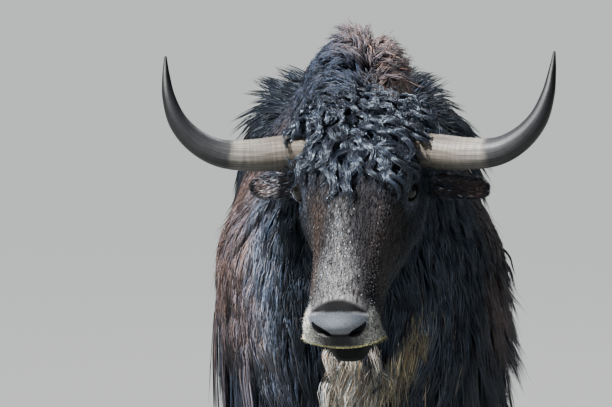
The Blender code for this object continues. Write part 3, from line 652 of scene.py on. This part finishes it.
# Painted highlight: a pale wet gleam painted on the nose pad.
pad_highlight = bump(across, front, 0, (-0.008, 0.013, 0), (0.032, 0.021, 1))
brink = ramp(0.005, 0.001, np.abs(front - brim)) * ramp(0.054, 0.048, side) * ramp(0.012, 0.046, side)
under = muzzle * ramp(-0.003, 0.003, front - pad_edge) * ramp(0.012, 0.005, front - pad_edge)
upper_lip = muzzle * ramp(0.040, 0.047, front) * ramp(0.082, 0.070, front) * ramp(0.040, 0.010, side)
eye_gap = np.minimum(*(np.linalg.norm(points - eye_centre(side), axis=-1) for side in (1, -1)))
eye_ring = head_share * ramp(0.046, 0.034, eye_gap) * ramp(0.13, 0.15, along)
bare = head_share * np.maximum(ramp(0.030, 0.024, eye_gap), 0.5 * ramp(0.1, 0.2, along))
colours = markings_and_painted_light(points, head_share)
# Where coat grows, the hide is painted at 0.45 of the coat's colour: painted shade in the gaps between the
# hairs.
for tone, share in ((0.45 * colours, 1 - np.maximum(muzzle, bare)),
                    ((0.0045, 0.0045, 0.005), leather),
                    ((0.065, 0.073, 0.090), pad),
                    ((0.22, 0.235, 0.27), 0.8 * pad * pad_highlight),
                    ((0.24, 0.25, 0.26), 0.7 * muzzle * brink),
                    ((0.004, 0.004, 0.005), under * ramp(0.05, 0.03, side)),
                    ((0.012, 0.012, 0.014), 0.92 * upper_lip),
                    ((0.045, 0.050, 0.068), eye_ring),
                    ((0.006, 0.006, 0.007), head_share * ramp(0.0250, 0.0230, eye_gap))):
    colours = mix(colours, tone, share)
for side in (1, -1):
    off = points - eye_centre(side)
    level, high = off @ eye_look(side)[1], off @ eye_look(side)[2]
    # Painted highlight: a pale bluish line on the lower lid, where light catches it.
    lower_lid_highlight = ramp(0.0032, 0.0010, np.abs(high + 0.0150 - 0.010 * (level / 0.020) ** 2))
    lower_lid_highlight = lower_lid_highlight * ramp(0.021, 0.012, np.abs(level))
    lower_lid_highlight = lower_lid_highlight * head_share * ramp(0.034, 0.028, np.linalg.norm(off, axis=-1))
    colours = mix(colours, (0.14, 0.15, 0.185), 0.8 * lower_lid_highlight)
paint(skin, colours)
furred = 1 - np.maximum(np.maximum(leather, pad), np.maximum(under, upper_lip))
for name, share in (("wet", pad), ("furred", furred)):
    skin.data.attributes.new(name, "FLOAT", "POINT").data.foreach_set("value", share)
dull = {"Roughness": 0.6, "Specular IOR Level": 0.07, "Coat Roughness": 0.22}
hide = finish_of("hide", dull, 420.0, 0.72, 1.35)
tree = hide.node_tree
plain = tree.nodes["spots"].outputs["Colour"]
place = add(tree, "TexCoord", {})
down_face = add(tree, "Mapping", {"Rotation": Matrix(FACE.T.tolist()).to_euler(), "Scale": (1, 7, 1),
                                  "Vector": place.outputs["Object"]}, vector_type="TEXTURE")
streaks = add(tree, "Group", {"Colour": plain, "Vector": down_face.outputs["Vector"], "Scale": 330,
                              "Low": 0.05, "High": 2.4}, node_tree=mottle)
furred = add(tree, "Attribute", {}, attribute_name="furred")
blend = add(tree, "Mix", {"Factor": furred.outputs["Fac"], "A": plain, "B": streaks.outputs["Colour"]},
            data_type="RGBA")
wet = add(tree, "Attribute", {}, attribute_name="wet")
gloss = add(tree, "MapRange", {"Value": wet.outputs["Fac"], "To Max": 0.9})
tree.links.new(blend.outputs["Result"], tree.nodes["Principled BSDF"].inputs["Base Color"])
tree.links.new(gloss.outputs["Result"], tree.nodes["Principled BSDF"].inputs["Coat Weight"])
skin.data.materials.clear()
skin.data.materials.append(hide)
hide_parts("head", "neck", "torso", "tail", "leg_front_left", "leg_front_right", "leg_hind_left",
            "leg_hind_right", "ear_left", "ear_right")
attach(skin, "root")

# Eyes: dark balls 38 mm across under a clear wet cornea, each with a level slit of a pupil in an iris that
# is almost black. They sit in the sockets behind the lids.
wet_gloss = {"Roughness": 0.3, "Coat Weight": 0.4, "Coat Roughness": 0.06, "Specular IOR Level": 0.1}
for name, side in (("left", 1), ("right", -1)):
    eye = ball(f"eyeball_{name}", eye_centre(side), EYE_RADIUS, 48, 32)
    points, normals = points_of(eye)
    ahead, level, high = ((points - eye_centre(side)) @ np.array(eye_look(side)).T / EYE_RADIUS).T
    iris = ramp(0.60, 0.66, ahead)
    pupil = ramp(1.0, 0.8, np.hypot(level / 0.42, high / 0.20)) * iris
    colours = mix(np.array([0.003, 0.003, 0.003]) + 0 * points, (0.006, 0.004, 0.003), iris)
    paint(eye, mix(colours, (0.002, 0.002, 0.003), pupil))
    eye.data.materials.append(finish_of(f"eye_{name}", wet_gloss, 300.0, 0.8, 1.2, 0.0001))
    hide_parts(f"eye_{name}")
    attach(eye, "root")

# Horns: hollow sheaths 0.45 m along the curve. The first third is ivory and tan with fibres and fine rings,
# darker below, partly brown staining and partly painted shade, then it turns dark grey and smooth, with a
# black tip. Each is a tube through the CAD horn's middle line.
HORN = np.array([
    (0.060, 0.000, 0.004, 0.0315),
    (0.135, 0.008, 0.000, 0.0313),
    (0.190, 0.020, -0.003, 0.0290),
    (0.245, 0.032, 0.002, 0.0252),
    (0.287, 0.040, 0.024, 0.0218),
    (0.318, 0.042, 0.058, 0.0176),
    (0.335, 0.036, 0.100, 0.0123),
    (0.342, 0.024, 0.140, 0.0072),
    (0.345, 0.010, 0.173, 0.0025),
])
horn_finish, tree = new_finish("horn", {"Roughness": 0.45, "Specular IOR Level": 0.35})
run = add(tree, "UVMap", {}, uv_map="run").outputs["UV"]
layers = {}
for name, scale, low, high in (("fibre", (34, 3.0, 1), 0.35, 1.60), ("ring", (1.0, 62, 1), 0.80, 1.18),
                               ("border", (3.0, 1.0, 1), 0.0, 1.0)):
    drawn = add(tree, "Mapping", {"Scale": scale, "Vector": run})
    layers[name] = add(tree, "Group", {"Vector": drawn.outputs["Vector"], "Scale": 1.5, "Low": low,
                                       "High": high}, node_tree=mottle)
split = add(tree, "SeparateXYZ", {"Vector": run})
shift = add(tree, "Math", {0: layers["border"].outputs["Height"], 1: 0.05, 2: split.outputs["Y"]},
            operation="MULTIPLY_ADD")
zones = add(tree, "ValToRGB", {"Fac": shift.outputs["Value"]})
for place, colour in ((0.0, (0.15, 0.12, 0.09, 1)), (0.20, (0.20, 0.175, 0.145, 1)),
                      (0.345, (0.25, 0.23, 0.20, 1)), (0.372, (0.050, 0.050, 0.052, 1)),
                      (0.62, (0.022, 0.023, 0.026, 1)), (0.80, (0.012, 0.012, 0.014, 1)),
                      (0.89, (0.003, 0.003, 0.004, 1))):
    (zones.color_ramp.elements.new(place) if place else zones.color_ramp.elements[0]).color = colour
zones.color_ramp.elements[-1].color = (0.006, 0.006, 0.008, 1)
# Darker towards the underside: partly the horn's brown staining, partly painted shade.
stain_and_shade = add(tree, "MapRange", {"Value": split.outputs["X"], "From Min": 0.22, "From Max": 0.62,
                               "To Min": 0.28})
stained_and_shaded = add(tree, "VectorMath", {0: zones.outputs["Color"], "Scale": stain_and_shade.outputs["Result"]},
              operation="SCALE")
tree.links.new(stained_and_shaded.outputs["Vector"], layers["fibre"].inputs["Colour"])
tree.links.new(layers["fibre"].outputs["Colour"], layers["ring"].inputs["Colour"])
cover(tree, layers["ring"].outputs["Colour"], layers["fibre"].outputs["Height"], 0.4, 0.0008)
rings, around = 150, 48
for name, side in (("left", 1), ("right", -1)):
    share = np.linspace(0, 1, rings)
    out, ahead, up, radius = spline(HORN, share * (len(HORN) - 1)).T
    middle = from_face((0.0, 0.064, 0.041)) + np.stack([side * out, ahead, up], -1) @ LEVEL
    ripple = np.sin(share * 260 + 3 * np.sin(share * 31)) * (0.4 + 0.6 * np.sin(share * 47) ** 2)
    radius = radius - 0.0004 + 0.0003 * ripple * ramp(0.40, 0.30, share)
    sheath = round_tube(f"sheath_{name}", middle, radius, around)
    sheath.data.materials.append(horn_finish)
    uv = sheath.data.uv_layers.new(name="run")
    corners = np.empty(len(sheath.data.loops), int)
    sheath.data.loops.foreach_get("vertex_index", corners)
    row, column = np.divmod(corners, around)
    wrap = np.abs(2 * column / around - 1)
    wrap = wrap if side > 0 else 1 - wrap
    uv.data.foreach_set("uv", np.stack([wrap, row / (rings - 1)], -1).ravel())
    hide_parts(f"horn_{name}")
    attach(sheath, "root")

# Hooves and dewclaws: dark horn 62 mm high with growth lines round it, paler where it wears at the ground.
# The solids keep their shape, and only their finish is made here.
hoof_finish, tree = new_finish("hoof", {"Roughness": 0.5})
place = add(tree, "TexCoord", {}).outputs["Object"]
height = add(tree, "SeparateXYZ", {"Vector": place})
worn = add(tree, "ValToRGB", {"Fac": height.outputs["Z"]})
worn.color_ramp.elements[0].color = (0.16, 0.135, 0.105, 1)
worn.color_ramp.elements[1].color = (0.028, 0.025, 0.023, 1)
worn.color_ramp.elements[1].position = 0.035
colour = worn.outputs["Color"]
for scale, stretch in ((40.0, (1, 1, 9)), (220.0, (1, 1, 0.3))):
    drawn = add(tree, "Mapping", {"Scale": stretch, "Vector": place})
    layer = add(tree, "Group", {"Scale": scale, "Low": 0.55, "High": 1.5, "Vector": drawn.outputs["Vector"],
                                "Colour": colour}, node_tree=mottle)
    colour = layer.outputs["Colour"]
cover(tree, colour, layer.outputs["Height"], 0.5, 0.0008)
for name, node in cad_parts.items():
    if name.startswith(("hoof", "dewclaw")):
        node.data.materials.clear()
        node.data.materials.append(hoof_finish)


# Coat: solid strands over the skin, 1 to 3 mm wide, gathered into locks that taper together. The real hair
# is 5 to 450 mm long. Each lock's middle line is combed over the skin, and its strands follow it.
ground = tree_of(skin)
skin.data.calc_loop_triangles()
corners = np.empty(len(skin.data.loop_triangles) * 3, int)
skin.data.loop_triangles.foreach_get("vertices", corners)
triangles = points_of(skin)[0][corners.reshape(-1, 3)]
normals = np.cross(triangles[:, 1] - triangles[:, 0], triangles[:, 2] - triangles[:, 0])
area, facing, middles = np.linalg.norm(normals, axis=-1) / 2, unit(normals), triangles.mean(1)
x, y, z = middles.T
across, along, down = to_face(middles).T
head_here = head_share[corners.reshape(-1, 3)].min(1)
ear_here = on_ear(middles) * head_here
below_hump = ramp(0.42, 0.50, z)


def scatter(weight, count, seed):
    """A fresh generator, roots on the skin, as many as count, spread in proportion to weight times area,
    and the ways out of the skin there. Root = A + a (B - A) + b (C - A) on a triangle A, B, C."""
    rng = np.random.default_rng(seed)
    total = np.cumsum(weight * area)
    pick = np.searchsorted(total, (np.arange(count) + rng.uniform(0, 1, count)) / count * total[-1])
    pick = np.minimum(pick, len(area) - 1)
    a, b = rng.uniform(0, 1, (2, count, 1))
    a, b = np.where(a + b > 1, 1 - a, a), np.where(a + b > 1, 1 - b, b)
    first, second, third = triangles[pick].transpose(1, 0, 2)
    roots = first + a * (second - first) + b * (third - first)
    return np.random.default_rng(seed), roots, facing[pick]


def comb(roots, outward, lie, length, lift, hang=0.0, rise=0.0, steps=8):
    """Middle lines of locks, shape (locks, steps + 1, 3), and the ways their backs face. A line leaves the
    skin at its root, runs along lie at the height lift, falls free where hang is near 1, and at the end
    stands out from the skin by rise."""
    count = len(roots)
    length, lift, hang, rise = (np.broadcast_to(value, count).astype(float)
                                for value in (length, lift, hang, rise))
    point, normal = roots.copy(), outward.copy()
    heading = unit(lie - normal * np.sum(lie * normal, -1, keepdims=True))
    lines, backs = [point - normal * 0.004], [normal]
    for step in range(1, steps + 1):
        share = step / steps
        heading = unit(heading + hang[:, None] * DOWN * 2.0 / steps)
        point = point + heading * (length / steps)[:, None]
        place, way_out = nearest(ground, point)
        height = np.sum((point - place) * way_out, -1)
        want = lift * math.sin(math.pi * (0.12 + 0.73 * share))
        pull = np.where(height < want, 1.0, (1 - hang) * (1 - 0.8 * share))
        point = point + way_out * ((want - height) * pull)[:, None]
        hugging = (hang < 0.5)[:, None]
        flat = unit(heading - way_out * np.sum(heading * way_out, -1, keepdims=True))
        heading = np.where(hugging, flat, heading)
        normal = np.where(hugging, unit(normal + way_out), unit(normal * (1, 1, 0.7)))
        lines.append(point)
        backs.append(normal)
    share = np.linspace(0, 1, steps + 1)[None, :, None]
    return np.stack(lines, 1) + outward[:, None] * rise[:, None, None] * share ** 1.3, np.stack(backs, 1)


def unwrap(points):
    """Place of a root on the unrolled skin: the head round its own middle line, the trunk round its long
    middle line, and each leg and the tail round its own."""
    x, y, z = points.T
    across, along, down = to_face(points).T
    u = (np.arctan2(across, down - 0.09) / (2 * math.pi) + 0.5) * 0.46 + 0.02
    v = np.clip(along / 0.48, 0, 1) * 0.44 + 0.53
    on_trunk = (np.arctan2(x, z - 0.85) / (2 * math.pi) + 0.5) * 0.96 + 0.02
    along_trunk = np.clip((y + 0.86) / 1.9, 0, 1) * 0.46 + 0.02
    limb = (z < 0.44) | (y > 1.05)
    number = np.where(y > 1.05, 4, 2 * (y > 0.3) + (x > 0))
    centre_y = np.where(y > 1.05, 1.08, np.where(y > 0.3, 0.85, -0.305))
    round_limb = np.arctan2(y - centre_y, np.abs(x) - 0.15 * (y < 1.05)) / (2 * math.pi) + 0.5
    on_limb, up_limb = 0.52 + (number + 0.05 + 0.9 * round_limb) * 0.09, 0.53 + np.clip(z, 0, 1.1) * 0.4
    head = (along > 0.03) & (y < -0.80)
    return np.stack([np.where(head, u, np.where(limb, on_limb, on_trunk)),
                     np.where(head, v, np.where(limb, up_limb, along_trunk))], -1)


def coat(name, lines, backs, count, spread, width, seed, finish, slot="coat", gather=0.8, rings=3, fly=0.003,
         curl=0.0, coils=1.5, shade=0.42, shorter=0.25, fleck=(0, 0, 0), chance=0.0):
    """Strands round each lock's middle line: line(s) + a spread (1 - gather s) across it and a height fly, a
    few of them loose, with a curl of that many coils. A strand is a bar of three sides, its half width
    width (1 - s^2.5), which ends in a point. By the lock's chance a strand has the colour fleck."""
    rng = np.random.default_rng(seed)
    locks, steps = lines.shape[0], lines.shape[1] - 1
    run = unit(np.gradient(lines, axis=1))
    across = unit(np.cross(run, backs))
    if curl:
        s = np.linspace(0, 1, steps + 1)
        phase = rng.uniform(0, 2 * math.pi, locks)[:, None] + s * 2 * math.pi * coils
        swing = curl * rng.uniform(0.6, 1.3, locks)[:, None] * ramp(0, 0.35, s)
        lines = lines + across * (np.cos(phase) * swing)[..., None]
        lines = lines + backs * (0.6 * np.sin(phase) * swing)[..., None]
        run = unit(np.gradient(lines, axis=1))
        across = unit(np.cross(run, backs))
    upward = unit(np.cross(across, run))
    owner = np.repeat(np.arange(locks), count)
    total = len(owner)
    s = np.linspace(0, 1, rings + 1)
    reach = s[None] * (1 - shorter * rng.uniform(0, 1, total))[:, None] * steps
    low = np.minimum(reach.astype(int), steps - 1)
    part = (reach - low)[..., None]
    path, side, back, ahead = (table[owner[:, None], low] * (1 - part) + table[owner[:, None], low + 1] * part
                               for table in (lines, across, upward, run))
    a, b, c = rng.uniform(-1, 1, (3, total, 1, 1))
    gather = np.broadcast_to(gather, locks)[owner][:, None]
    path = path + (side * a + ahead * b * 0.8) * (spread * (1 - gather * s ** 1.3))[..., None]
    path = path + back * (0.5 + 0.5 * c) * fly * (0.4 + s)[None, :, None]
    loose = (rng.uniform(0, 1, (total, 1, 1)) < 0.12) * rng.normal(0, 1, (total, 1, 3)) * fly * 2.5
    path = path + loose * (s ** 2)[None, :, None]
    half = (width * rng.uniform(0.7, 1.25, (total, 1)) * (1 - s ** 2.5)[None])[..., None]
    tilt = rng.uniform(-0.6, 0.6, (total, 1, 1))
    flat = side + back * tilt
    ring = np.stack([path - flat * half, path + flat * half, path + (back - side * tilt) * half * 0.7], 2)
    points = np.concatenate([ring[:, :-1].reshape(total, -1, 3), path[:, -1:]], 1)
    each = 3 * rings + 1
    k, j = np.divmod(np.arange((rings - 1) * 3), 3)
    here, beside = k * 3 + j, k * 3 + (j + 1) % 3
    start = (np.arange(total) * each)[:, None, None]
    quads = (np.stack([here, beside, beside + 3, here + 3], -1)[None] + start).reshape(-1)
    last, j = 3 * (rings - 1), np.arange(3)
    ends = np.stack([last + j, last + (j + 1) % 3, np.full(3, 3 * rings)], -1)
    ends = (np.concatenate([[[2, 1, 0]], ends])[None] + start).reshape(-1)
    mesh = bpy.data.meshes.new(name)
    mesh.vertices.add(total * each)
    mesh.vertices.foreach_set("co", points.ravel())
    corners = np.concatenate([quads, ends])
    mesh.loops.add(len(corners))
    mesh.loops.foreach_set("vertex_index", corners)
    sizes = np.concatenate([np.full(len(quads) // 4, 4), np.full(len(ends) // 3, 3)])
    mesh.polygons.add(len(sizes))
    mesh.polygons.foreach_set("loop_start", np.concatenate([[0], np.cumsum(sizes)[:-1]]))
    mesh.update(calc_edges=True)
    mesh.shade_smooth()
    made = new_object(name, mesh)
    root = path[:, 0]
    colour = markings_and_painted_light(root, np.full(total, float(slot != "coat")))
    chance = np.broadcast_to(chance, locks)[owner]
    pale = (rng.uniform(0, 1, total) < chance) * rng.uniform(0.1, 1, total)
    colour = mix(colour, fleck, pale)
    colour = colour * np.exp(rng.normal(0, shade, (total, 1)) + rng.normal(0, 0.4 * shade, (locks, 1))[owner])
    colour = colour * (1 + rng.normal(0, 0.12, (total, 1)) * np.array([1, 0, -1]))
    # Painted shade: each strand darker towards its root, down in the coat.
    root_shade = np.append(np.repeat(0.45 + 0.55 * ramp(0, 0.45, s[:-1]), 3), 1.0)
    paint(made, (colour[:, None] * root_shade[None, :, None]).reshape(-1, 3))
    place = np.append(np.tile(np.arange(3) / 2, rings), 0.5), np.append(np.repeat(s[:-1], 3), 1.0)
    spot = unwrap(root)[:, None] + 0.003 * (np.stack(place, -1) - 0.5)[None]
    mesh.uv_layers.new(name="OFBake").data.foreach_set("uv", spot.reshape(-1, 2)[corners].ravel())
    size = np.array([2 * width, 0.0]) + np.array([0.0, 1.0]) * np.linalg.norm(lines[0, -1] - lines[0, 0])
    strand = rng.uniform(0, 9, (total, 1, 2)) + (np.stack(place, -1) * size)[None]
    mesh.uv_layers.new(name="strand").data.foreach_set("uv", strand.reshape(-1, 2)[corners].ravel())
    mesh.materials.append(finish)
    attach(made, "root")
    return made


glints = {"Specular Tint": (0.68, 0.83, 1.0, 1)}
satin = glints | {"Roughness": 0.46, "Specular IOR Level": 0.42}
glossy = glints | {"Roughness": 0.27, "Specular IOR Level": 1.0}
hair = finish_of("hair", satin, 1800.0, 0.5, 1.5, 0.0006, 25)
curls = finish_of("curls", glossy, 1800.0, 0.5, 1.5, 0.0004, 25)

# Mantle: hair 50 to 200 mm long over neck, hump, shoulders and chest, parted along the hump's crest, with a
# few pale hairs strayed over the chest.
front = ramp(0.22, 0.05, y) * (1 - head_here) * below_hump * (1 + ramp(0.3, -0.3, y))
for part, seed in enumerate((1, 2, 3)):
    number = 1100
    rng, roots, outward = scatter(front, number, seed)
    x, y, z = roots.T
    top = ramp(0.2, 0.9, outward[:, 2])
    parted = np.clip((x - 0.020) / 0.045, -1, 1)
    sideways = parted * (0.15 + 0.2 * ramp(-0.1, 0.1, x) + 1.2 * top) * ramp(0.85, 1.0, z)
    lie = unit(DOWN + np.stack([sideways, 0.20 + 0.9 * top, 0 * x], -1) + rng.normal(0, 0.13, (number, 3)))
    length = 0.055 + 0.06 * ramp(1.20, 1.02, z) + 0.08 * ramp(0.95, 0.7, z)
    loose = (0.045 + 0.060 * ramp(0.92, 0.80, z)) * ramp(0.14, 0.22, x) * ramp(1.02, 0.88, z)
    loose = (loose + 0.025 * ramp(-0.14, -0.22, x) * ramp(0.90, 0.75, z)) * rng.uniform(0.4, 1, number)
    length = length * rng.uniform(0.8, 1.25, number)
    lift = rng.uniform(0.006, 0.020, number)
    lift = lift * (1 - 0.5 * ramp(-0.12, -0.2, x)) * (1 - 0.5 * ramp(1.12, 1.2, z))
    lift = lift + 0.014 * bump(x, 0, z, (-0.07, 0, 1.30), (0.06, 1, 0.05))
    lines, backs = comb(roots, outward, lie, length, lift, 0.25 * ramp(1.0, 0.8, z), loose)
    stray = bump(x, y, z, (0.115, -0.62, 0.78), (0.06, 0.2, 0.09))
    coat(f"mantle_{part}", lines, backs, 16, 0.020, 0.0011, seed, hair, rings=2, fleck=(0.50, 0.42, 0.33),
         gather=0.6 - 0.35 * ramp(1.10, 1.20, z), chance=0.13 * stray)

# Bib: cream hair 60 to 150 mm long down the throat, and a tan streak of it to the left of the throat. It is
# finer than the rest, and grows in loose wavy locks.
x, y, z = middles.T
cream_here = ramp(0.060, 0.020, np.abs(x + 0.010)) * ramp(0.52, 0.60, z) * ramp(0.84, 0.81, z)
streak = ramp(0.024, 0.008, np.abs(x - 0.080 - 0.53 * (z - 0.81))) * ramp(0.74, 0.78, z) * ramp(0.90, 0.86, z)
bib = np.maximum(cream_here, streak) * ramp(-0.5, -0.57, y) * (1 - head_here)
number = 120
rng, roots, outward = scatter(bib, number, 7)
lie = unit(DOWN + rng.normal(0, 0.22, (number, 3)))
length = rng.uniform(0.06, 0.15, number)
lines, backs = comb(roots, outward, lie, length, rng.uniform(0.010, 0.026, number), 0.3)
coat("bib", lines, backs, 20, 0.014, 0.0007, 7, hair, shade=0.45, curl=0.006, gather=0.85)

# Crest: pale brown tufts 30 to 60 mm long that stand up along the parting on top of the hump. They fall to
# both sides of it and lift off the skin towards their ends.
x, y, z = middles.T
ridge = ramp(0.050, 0.030, np.abs(x - 0.032)) * ramp(1.24, 1.29, z) * (1 - head_here)
number = 112
rng, roots, outward = scatter(ridge, number, 5)
lie = np.stack([2.5 * np.sign(roots[:, 0] - 0.020), 0.6 + 0 * roots[:, 0], 0 * roots[:, 0]], -1)
lie = unit(lie + rng.normal(0, 1.0, (number, 3)))
length = rng.uniform(0.030, 0.060, number)
lines, backs = comb(roots, outward, lie, length, 0.012, rise=rng.uniform(0.014, 0.036, number), steps=6)
coat("crest", lines, backs, 16, 0.012, 0.0012, 5, hair, fly=0.006, curl=0.004)

# Forelock: a thick cap of glossy ringlets 70 to 150 mm long, that fans from the crown over the brow and the
# bases of the horns
crown = head_here * (1 - ear_here) * ramp(0.115, 0.100, np.abs(across)) * ramp(0.100, 0.075, down)
temple = 0.055 * ramp(0.045, 0.065, np.abs(across))
crown = crown * ramp(0.105 - temple, 0.090 - temple, along)
for part, seed in enumerate((11, 12)):
    number = 140
    rng, roots, outward = scatter(crown, number, seed)
    a, f, d = to_face(roots).T
    lie = np.stack([a * 16, 0.7 + 5 * (f - 0.01), -0.1 + 0 * a], -1) + rng.normal(0, 0.35, (number, 3))
    lift = (0.014 + 0.014 * ramp(0.08, 0.01, f)) * rng.uniform(0.3, 1.15, number)
    length = rng.uniform(0.070, 0.115, number)
    length = length + 0.040 * ramp(0.03, 0.08, f) * ramp(0.06, 0.03, np.abs(a))
    lines, backs = comb(roots, outward, unit(lie @ FACE), length, lift, steps=14)
    coat(f"forelock_{part}", lines, backs, 22, 0.008, 0.0008, seed, curls, "head_coat", gather=0.6, rings=7,
         curl=0.011, coils=2.0, fly=0.003, shade=0.5, shorter=0.2)

# Face: short flat hair 5 to 14 mm long down the face, frosted white along the nose, and 60 mm by the jaw.
# Each hair lies close to the skin. The nose leather, the lips' edge and the eyelids are bare.
ahead, side = down + along - NOSE_END, np.abs(across)
cap = 0.032 * np.maximum(1 - (across / 0.050) ** 2, 0) ** 0.7
bare = ramp(-0.012, -0.004, ahead - 0.009 * (across / 0.050) ** 2 + 0.014 + cap) * ramp(0.054, 0.046, side)
bare = bare * ramp(0.39, 0.41, along)
bare = np.maximum(bare, ramp(0.42, 0.43, along) * ramp(0.0, 0.02, ahead) * ramp(0.045, 0.030, side))
eye_gap = np.minimum(*(np.linalg.norm(middles - eye_centre(side), axis=-1) for side in (1, -1)))
face = head_here * (1 - ear_here) * (1 - bare) * ramp(0.022, 0.026, eye_gap) * ramp(-0.03, 0.02, along)
face = face * (0.6 + 0.4 * ramp(0.14, 0.02, down))
number = 15000
rng, roots, outward = scatter(face, number, 21)
a, f, d = to_face(roots).T
low = ramp(0.05, 0.12, d)
lie = np.stack([np.sign(a) * 0.25 * ramp(0.02, 0.08, np.abs(a)), 1.0 - 0.7 * low, 0.9 * low], -1)
lie = lie + rng.normal(0, 0.16, (number, 3))
beard = ramp(0.06, 0.13, d) * ramp(0.30, 0.16, f)
length = (0.014 - 0.009 * ramp(0.2, 0.42, f) + 0.048 * beard) * rng.uniform(0.7, 1.3, number)
lines, backs = comb(roots, outward, unit(lie @ FACE), length, 0.0012 + 0.011 * beard, steps=3)
# These pale hairs lie mostly on the yak's right, the sunlit side: partly painted light.
frost = 0.55 * frosting(a, f) + 0.012 * ramp(0.15, 0.24, f) * ramp(0.12, 0.05, d) * (a < 0)
coat("face_fur", lines, backs, 1, 0.002, 0.0006, 21, hair, "head_coat", gather=0, rings=2, fly=0.001,
     shade=0.55, fleck=(0.60, 0.61, 0.65), chance=frost)

# Ears: hair 10 to 22 mm long, black outside and brown in the cup, that overhangs the rim and the tip. The
# yak's right ear has more pale hairs among it.
number = 3000
rng, roots, outward = scatter(ear_here * ramp(0.09, 0.11, side), number, 25)
lie = np.where(roots[:, :1] > 0, ear_frame(1)[0], ear_frame(-1)[0]) + rng.normal(0, 0.3, (number, 3))
lines, backs = comb(roots, outward, unit(lie), rng.uniform(0.010, 0.022, number), 0.0015, steps=3)
coat("ear_fur", lines, backs, 1, 0.002, 0.0007, 25, hair, "ear_coat", gather=0, rings=2, fly=0.002, shade=0.5,
     fleck=(0.42, 0.42, 0.45), chance=0.05 + 0.30 * (roots[:, 0] < 0))

# Flanks, back and rump: hair 60 mm long along the back and 120 to 190 mm down the flank, in tufts that stand
# out over the rump
x, y, z = middles.T
rear = ramp(0.05, 0.22, y) * below_hump * ramp(1.06, 1.03, y)
for part, seed in enumerate((31, 32)):
    number = 600
    rng, roots, outward = scatter(rear, number, seed)
    x, y, z = roots.T
    top = ramp(0.5, 0.95, outward[:, 2])
    rump = ramp(0.3, 0.6, y) * ramp(0.95, 1.06, z) * ramp(0.05, 0.12, np.abs(x))
    lie = unit(DOWN + np.stack([np.clip(x / 0.08, -1, 1) * 0.6 * top, 0.3 + 1.2 * top, 0 * x], -1)
               + rng.normal(0, 0.14, (number, 3)))
    rump = rump * (1 - 0.9 * ramp(0, -0.05, x) * ramp(1.13, 1.09, z))
    length = (0.120 - 0.060 * top + 0.03 * rump + 0.07 * ramp(0.95, 0.75, z)) * rng.uniform(0.8, 1.2, number)
    close = 1 - 0.6 * ramp(0.0, -0.10, x) * ramp(0.85, 0.95, z)
    lift = close * rng.uniform(0.006, 0.022, number)
    rise = (0.060 + 0.025 * (x < 0)) * rump * rng.uniform(0.3, 1, number)
    lines, backs = comb(roots, outward, lie, length, lift, 0.3 * ramp(0.9, 0.7, z), rise, 6)
    coat(f"flank_{part}", lines, backs, 14, 0.020, 0.0016, seed, hair, gather=0.55, rings=2)

# Skirt: the long hair, 150 to 450 mm, that hangs from flanks, belly and thighs to the knees and flares on
# the left, where one lock has come loose.
x, y, z = middles.T
belt = ramp(0.50, 0.60, z) * ramp(0.86, 0.74, z) * ramp(0.08, 0.20, np.abs(x)) * ramp(-0.62, -0.5, y)
belt = belt * ramp(1.02, 0.97, y) * (1 - head_here)
for part, seed in enumerate((41, 42)):
    number = 340
    rng, roots, outward = scatter(belt, number, seed)
    x, y, z = roots.T
    lie = DOWN + np.stack([0.10 * np.sign(x), 0.10 + 0 * x, 0 * x], -1)
    lie = unit(lie + rng.normal(0, 0.06, (number, 3)))
    tip = 0.33 + 0.08 * ramp(-0.3, -0.55, y) + 0.06 * ramp(0.75, 0.95, y)
    length = np.clip(z - tip, 0.15, 0.45) * rng.uniform(0.72, 1.06, number)
    lines, backs = comb(roots, outward, lie, length, rng.uniform(0.008, 0.026, number), 0.7,
                        (0.02 + 0.064 * ramp(0.05, 0.15, x)) * rng.uniform(0.5, 1, number))
    coat(f"skirt_{part}", lines, backs, 16, 0.022, 0.0016, seed, hair, gather=0.7)
x, y, z = middles.T
rng, roots, outward = scatter(bump(x, y, z, (0.27, -0.38, 0.93), (0.03, 0.03, 0.02)), 3, 45)
lines, backs = comb(roots, outward, np.array([[0.1, 0.1, -1.0]] * 3), 0.10, 0.020, rise=0.035)
coat("loose_lock", lines, backs, 16, 0.010, 0.0011, 45, hair, rings=6, curl=0.003, gather=0.9)

# Legs: hair 20 mm long that lies down the shank, and up to 65 mm above knee and hock. It grows shorter near
# the ground, so that the hooves show.
shank = ramp(0.058, 0.066, z) * ramp(0.56, 0.48, z) * ramp(1.05, 1.0, y)
number = 1900
rng, roots, outward = scatter(shank, number, 51)
x, y, z = roots.T
long = ramp(0.22, 0.34, z)
length = (0.020 + 0.045 * long * rng.uniform(0.4, 1, number)) * rng.uniform(0.8, 1.2, number)
length = np.minimum(length, np.maximum(z - 0.030, 0.006))
lie = unit(DOWN + rng.normal(0, 0.12, (number, 3)))
lines, backs = comb(roots, outward, lie, length, 0.002 + 0.006 * long, steps=4)
coat("leg_hair", lines, backs, 4, 0.006, 0.0012, 51, hair, rings=2, fly=0.002)

# Tail: a brush of hair 100 to 360 mm long that hangs from the whole dock, almost like a
# horse's, and hides the tail itself.
x, y, z = middles.T
dock = ramp(1.02, 1.06, y) * ramp(0.55, 0.60, z)
number = 200
rng, roots, outward = scatter(dock, number, 61)
length = np.clip(roots[:, 2] - 0.40, 0.10, 0.36) * rng.uniform(0.75, 1.05, number)
lie = unit(DOWN + rng.normal(0, 0.08, (number, 3)))
lines, backs = comb(roots, outward, lie, length, rng.uniform(0.004, 0.020, number), 0.7)
coat("tail_hair", lines, backs, 18, 0.014, 0.0015, 61, hair)
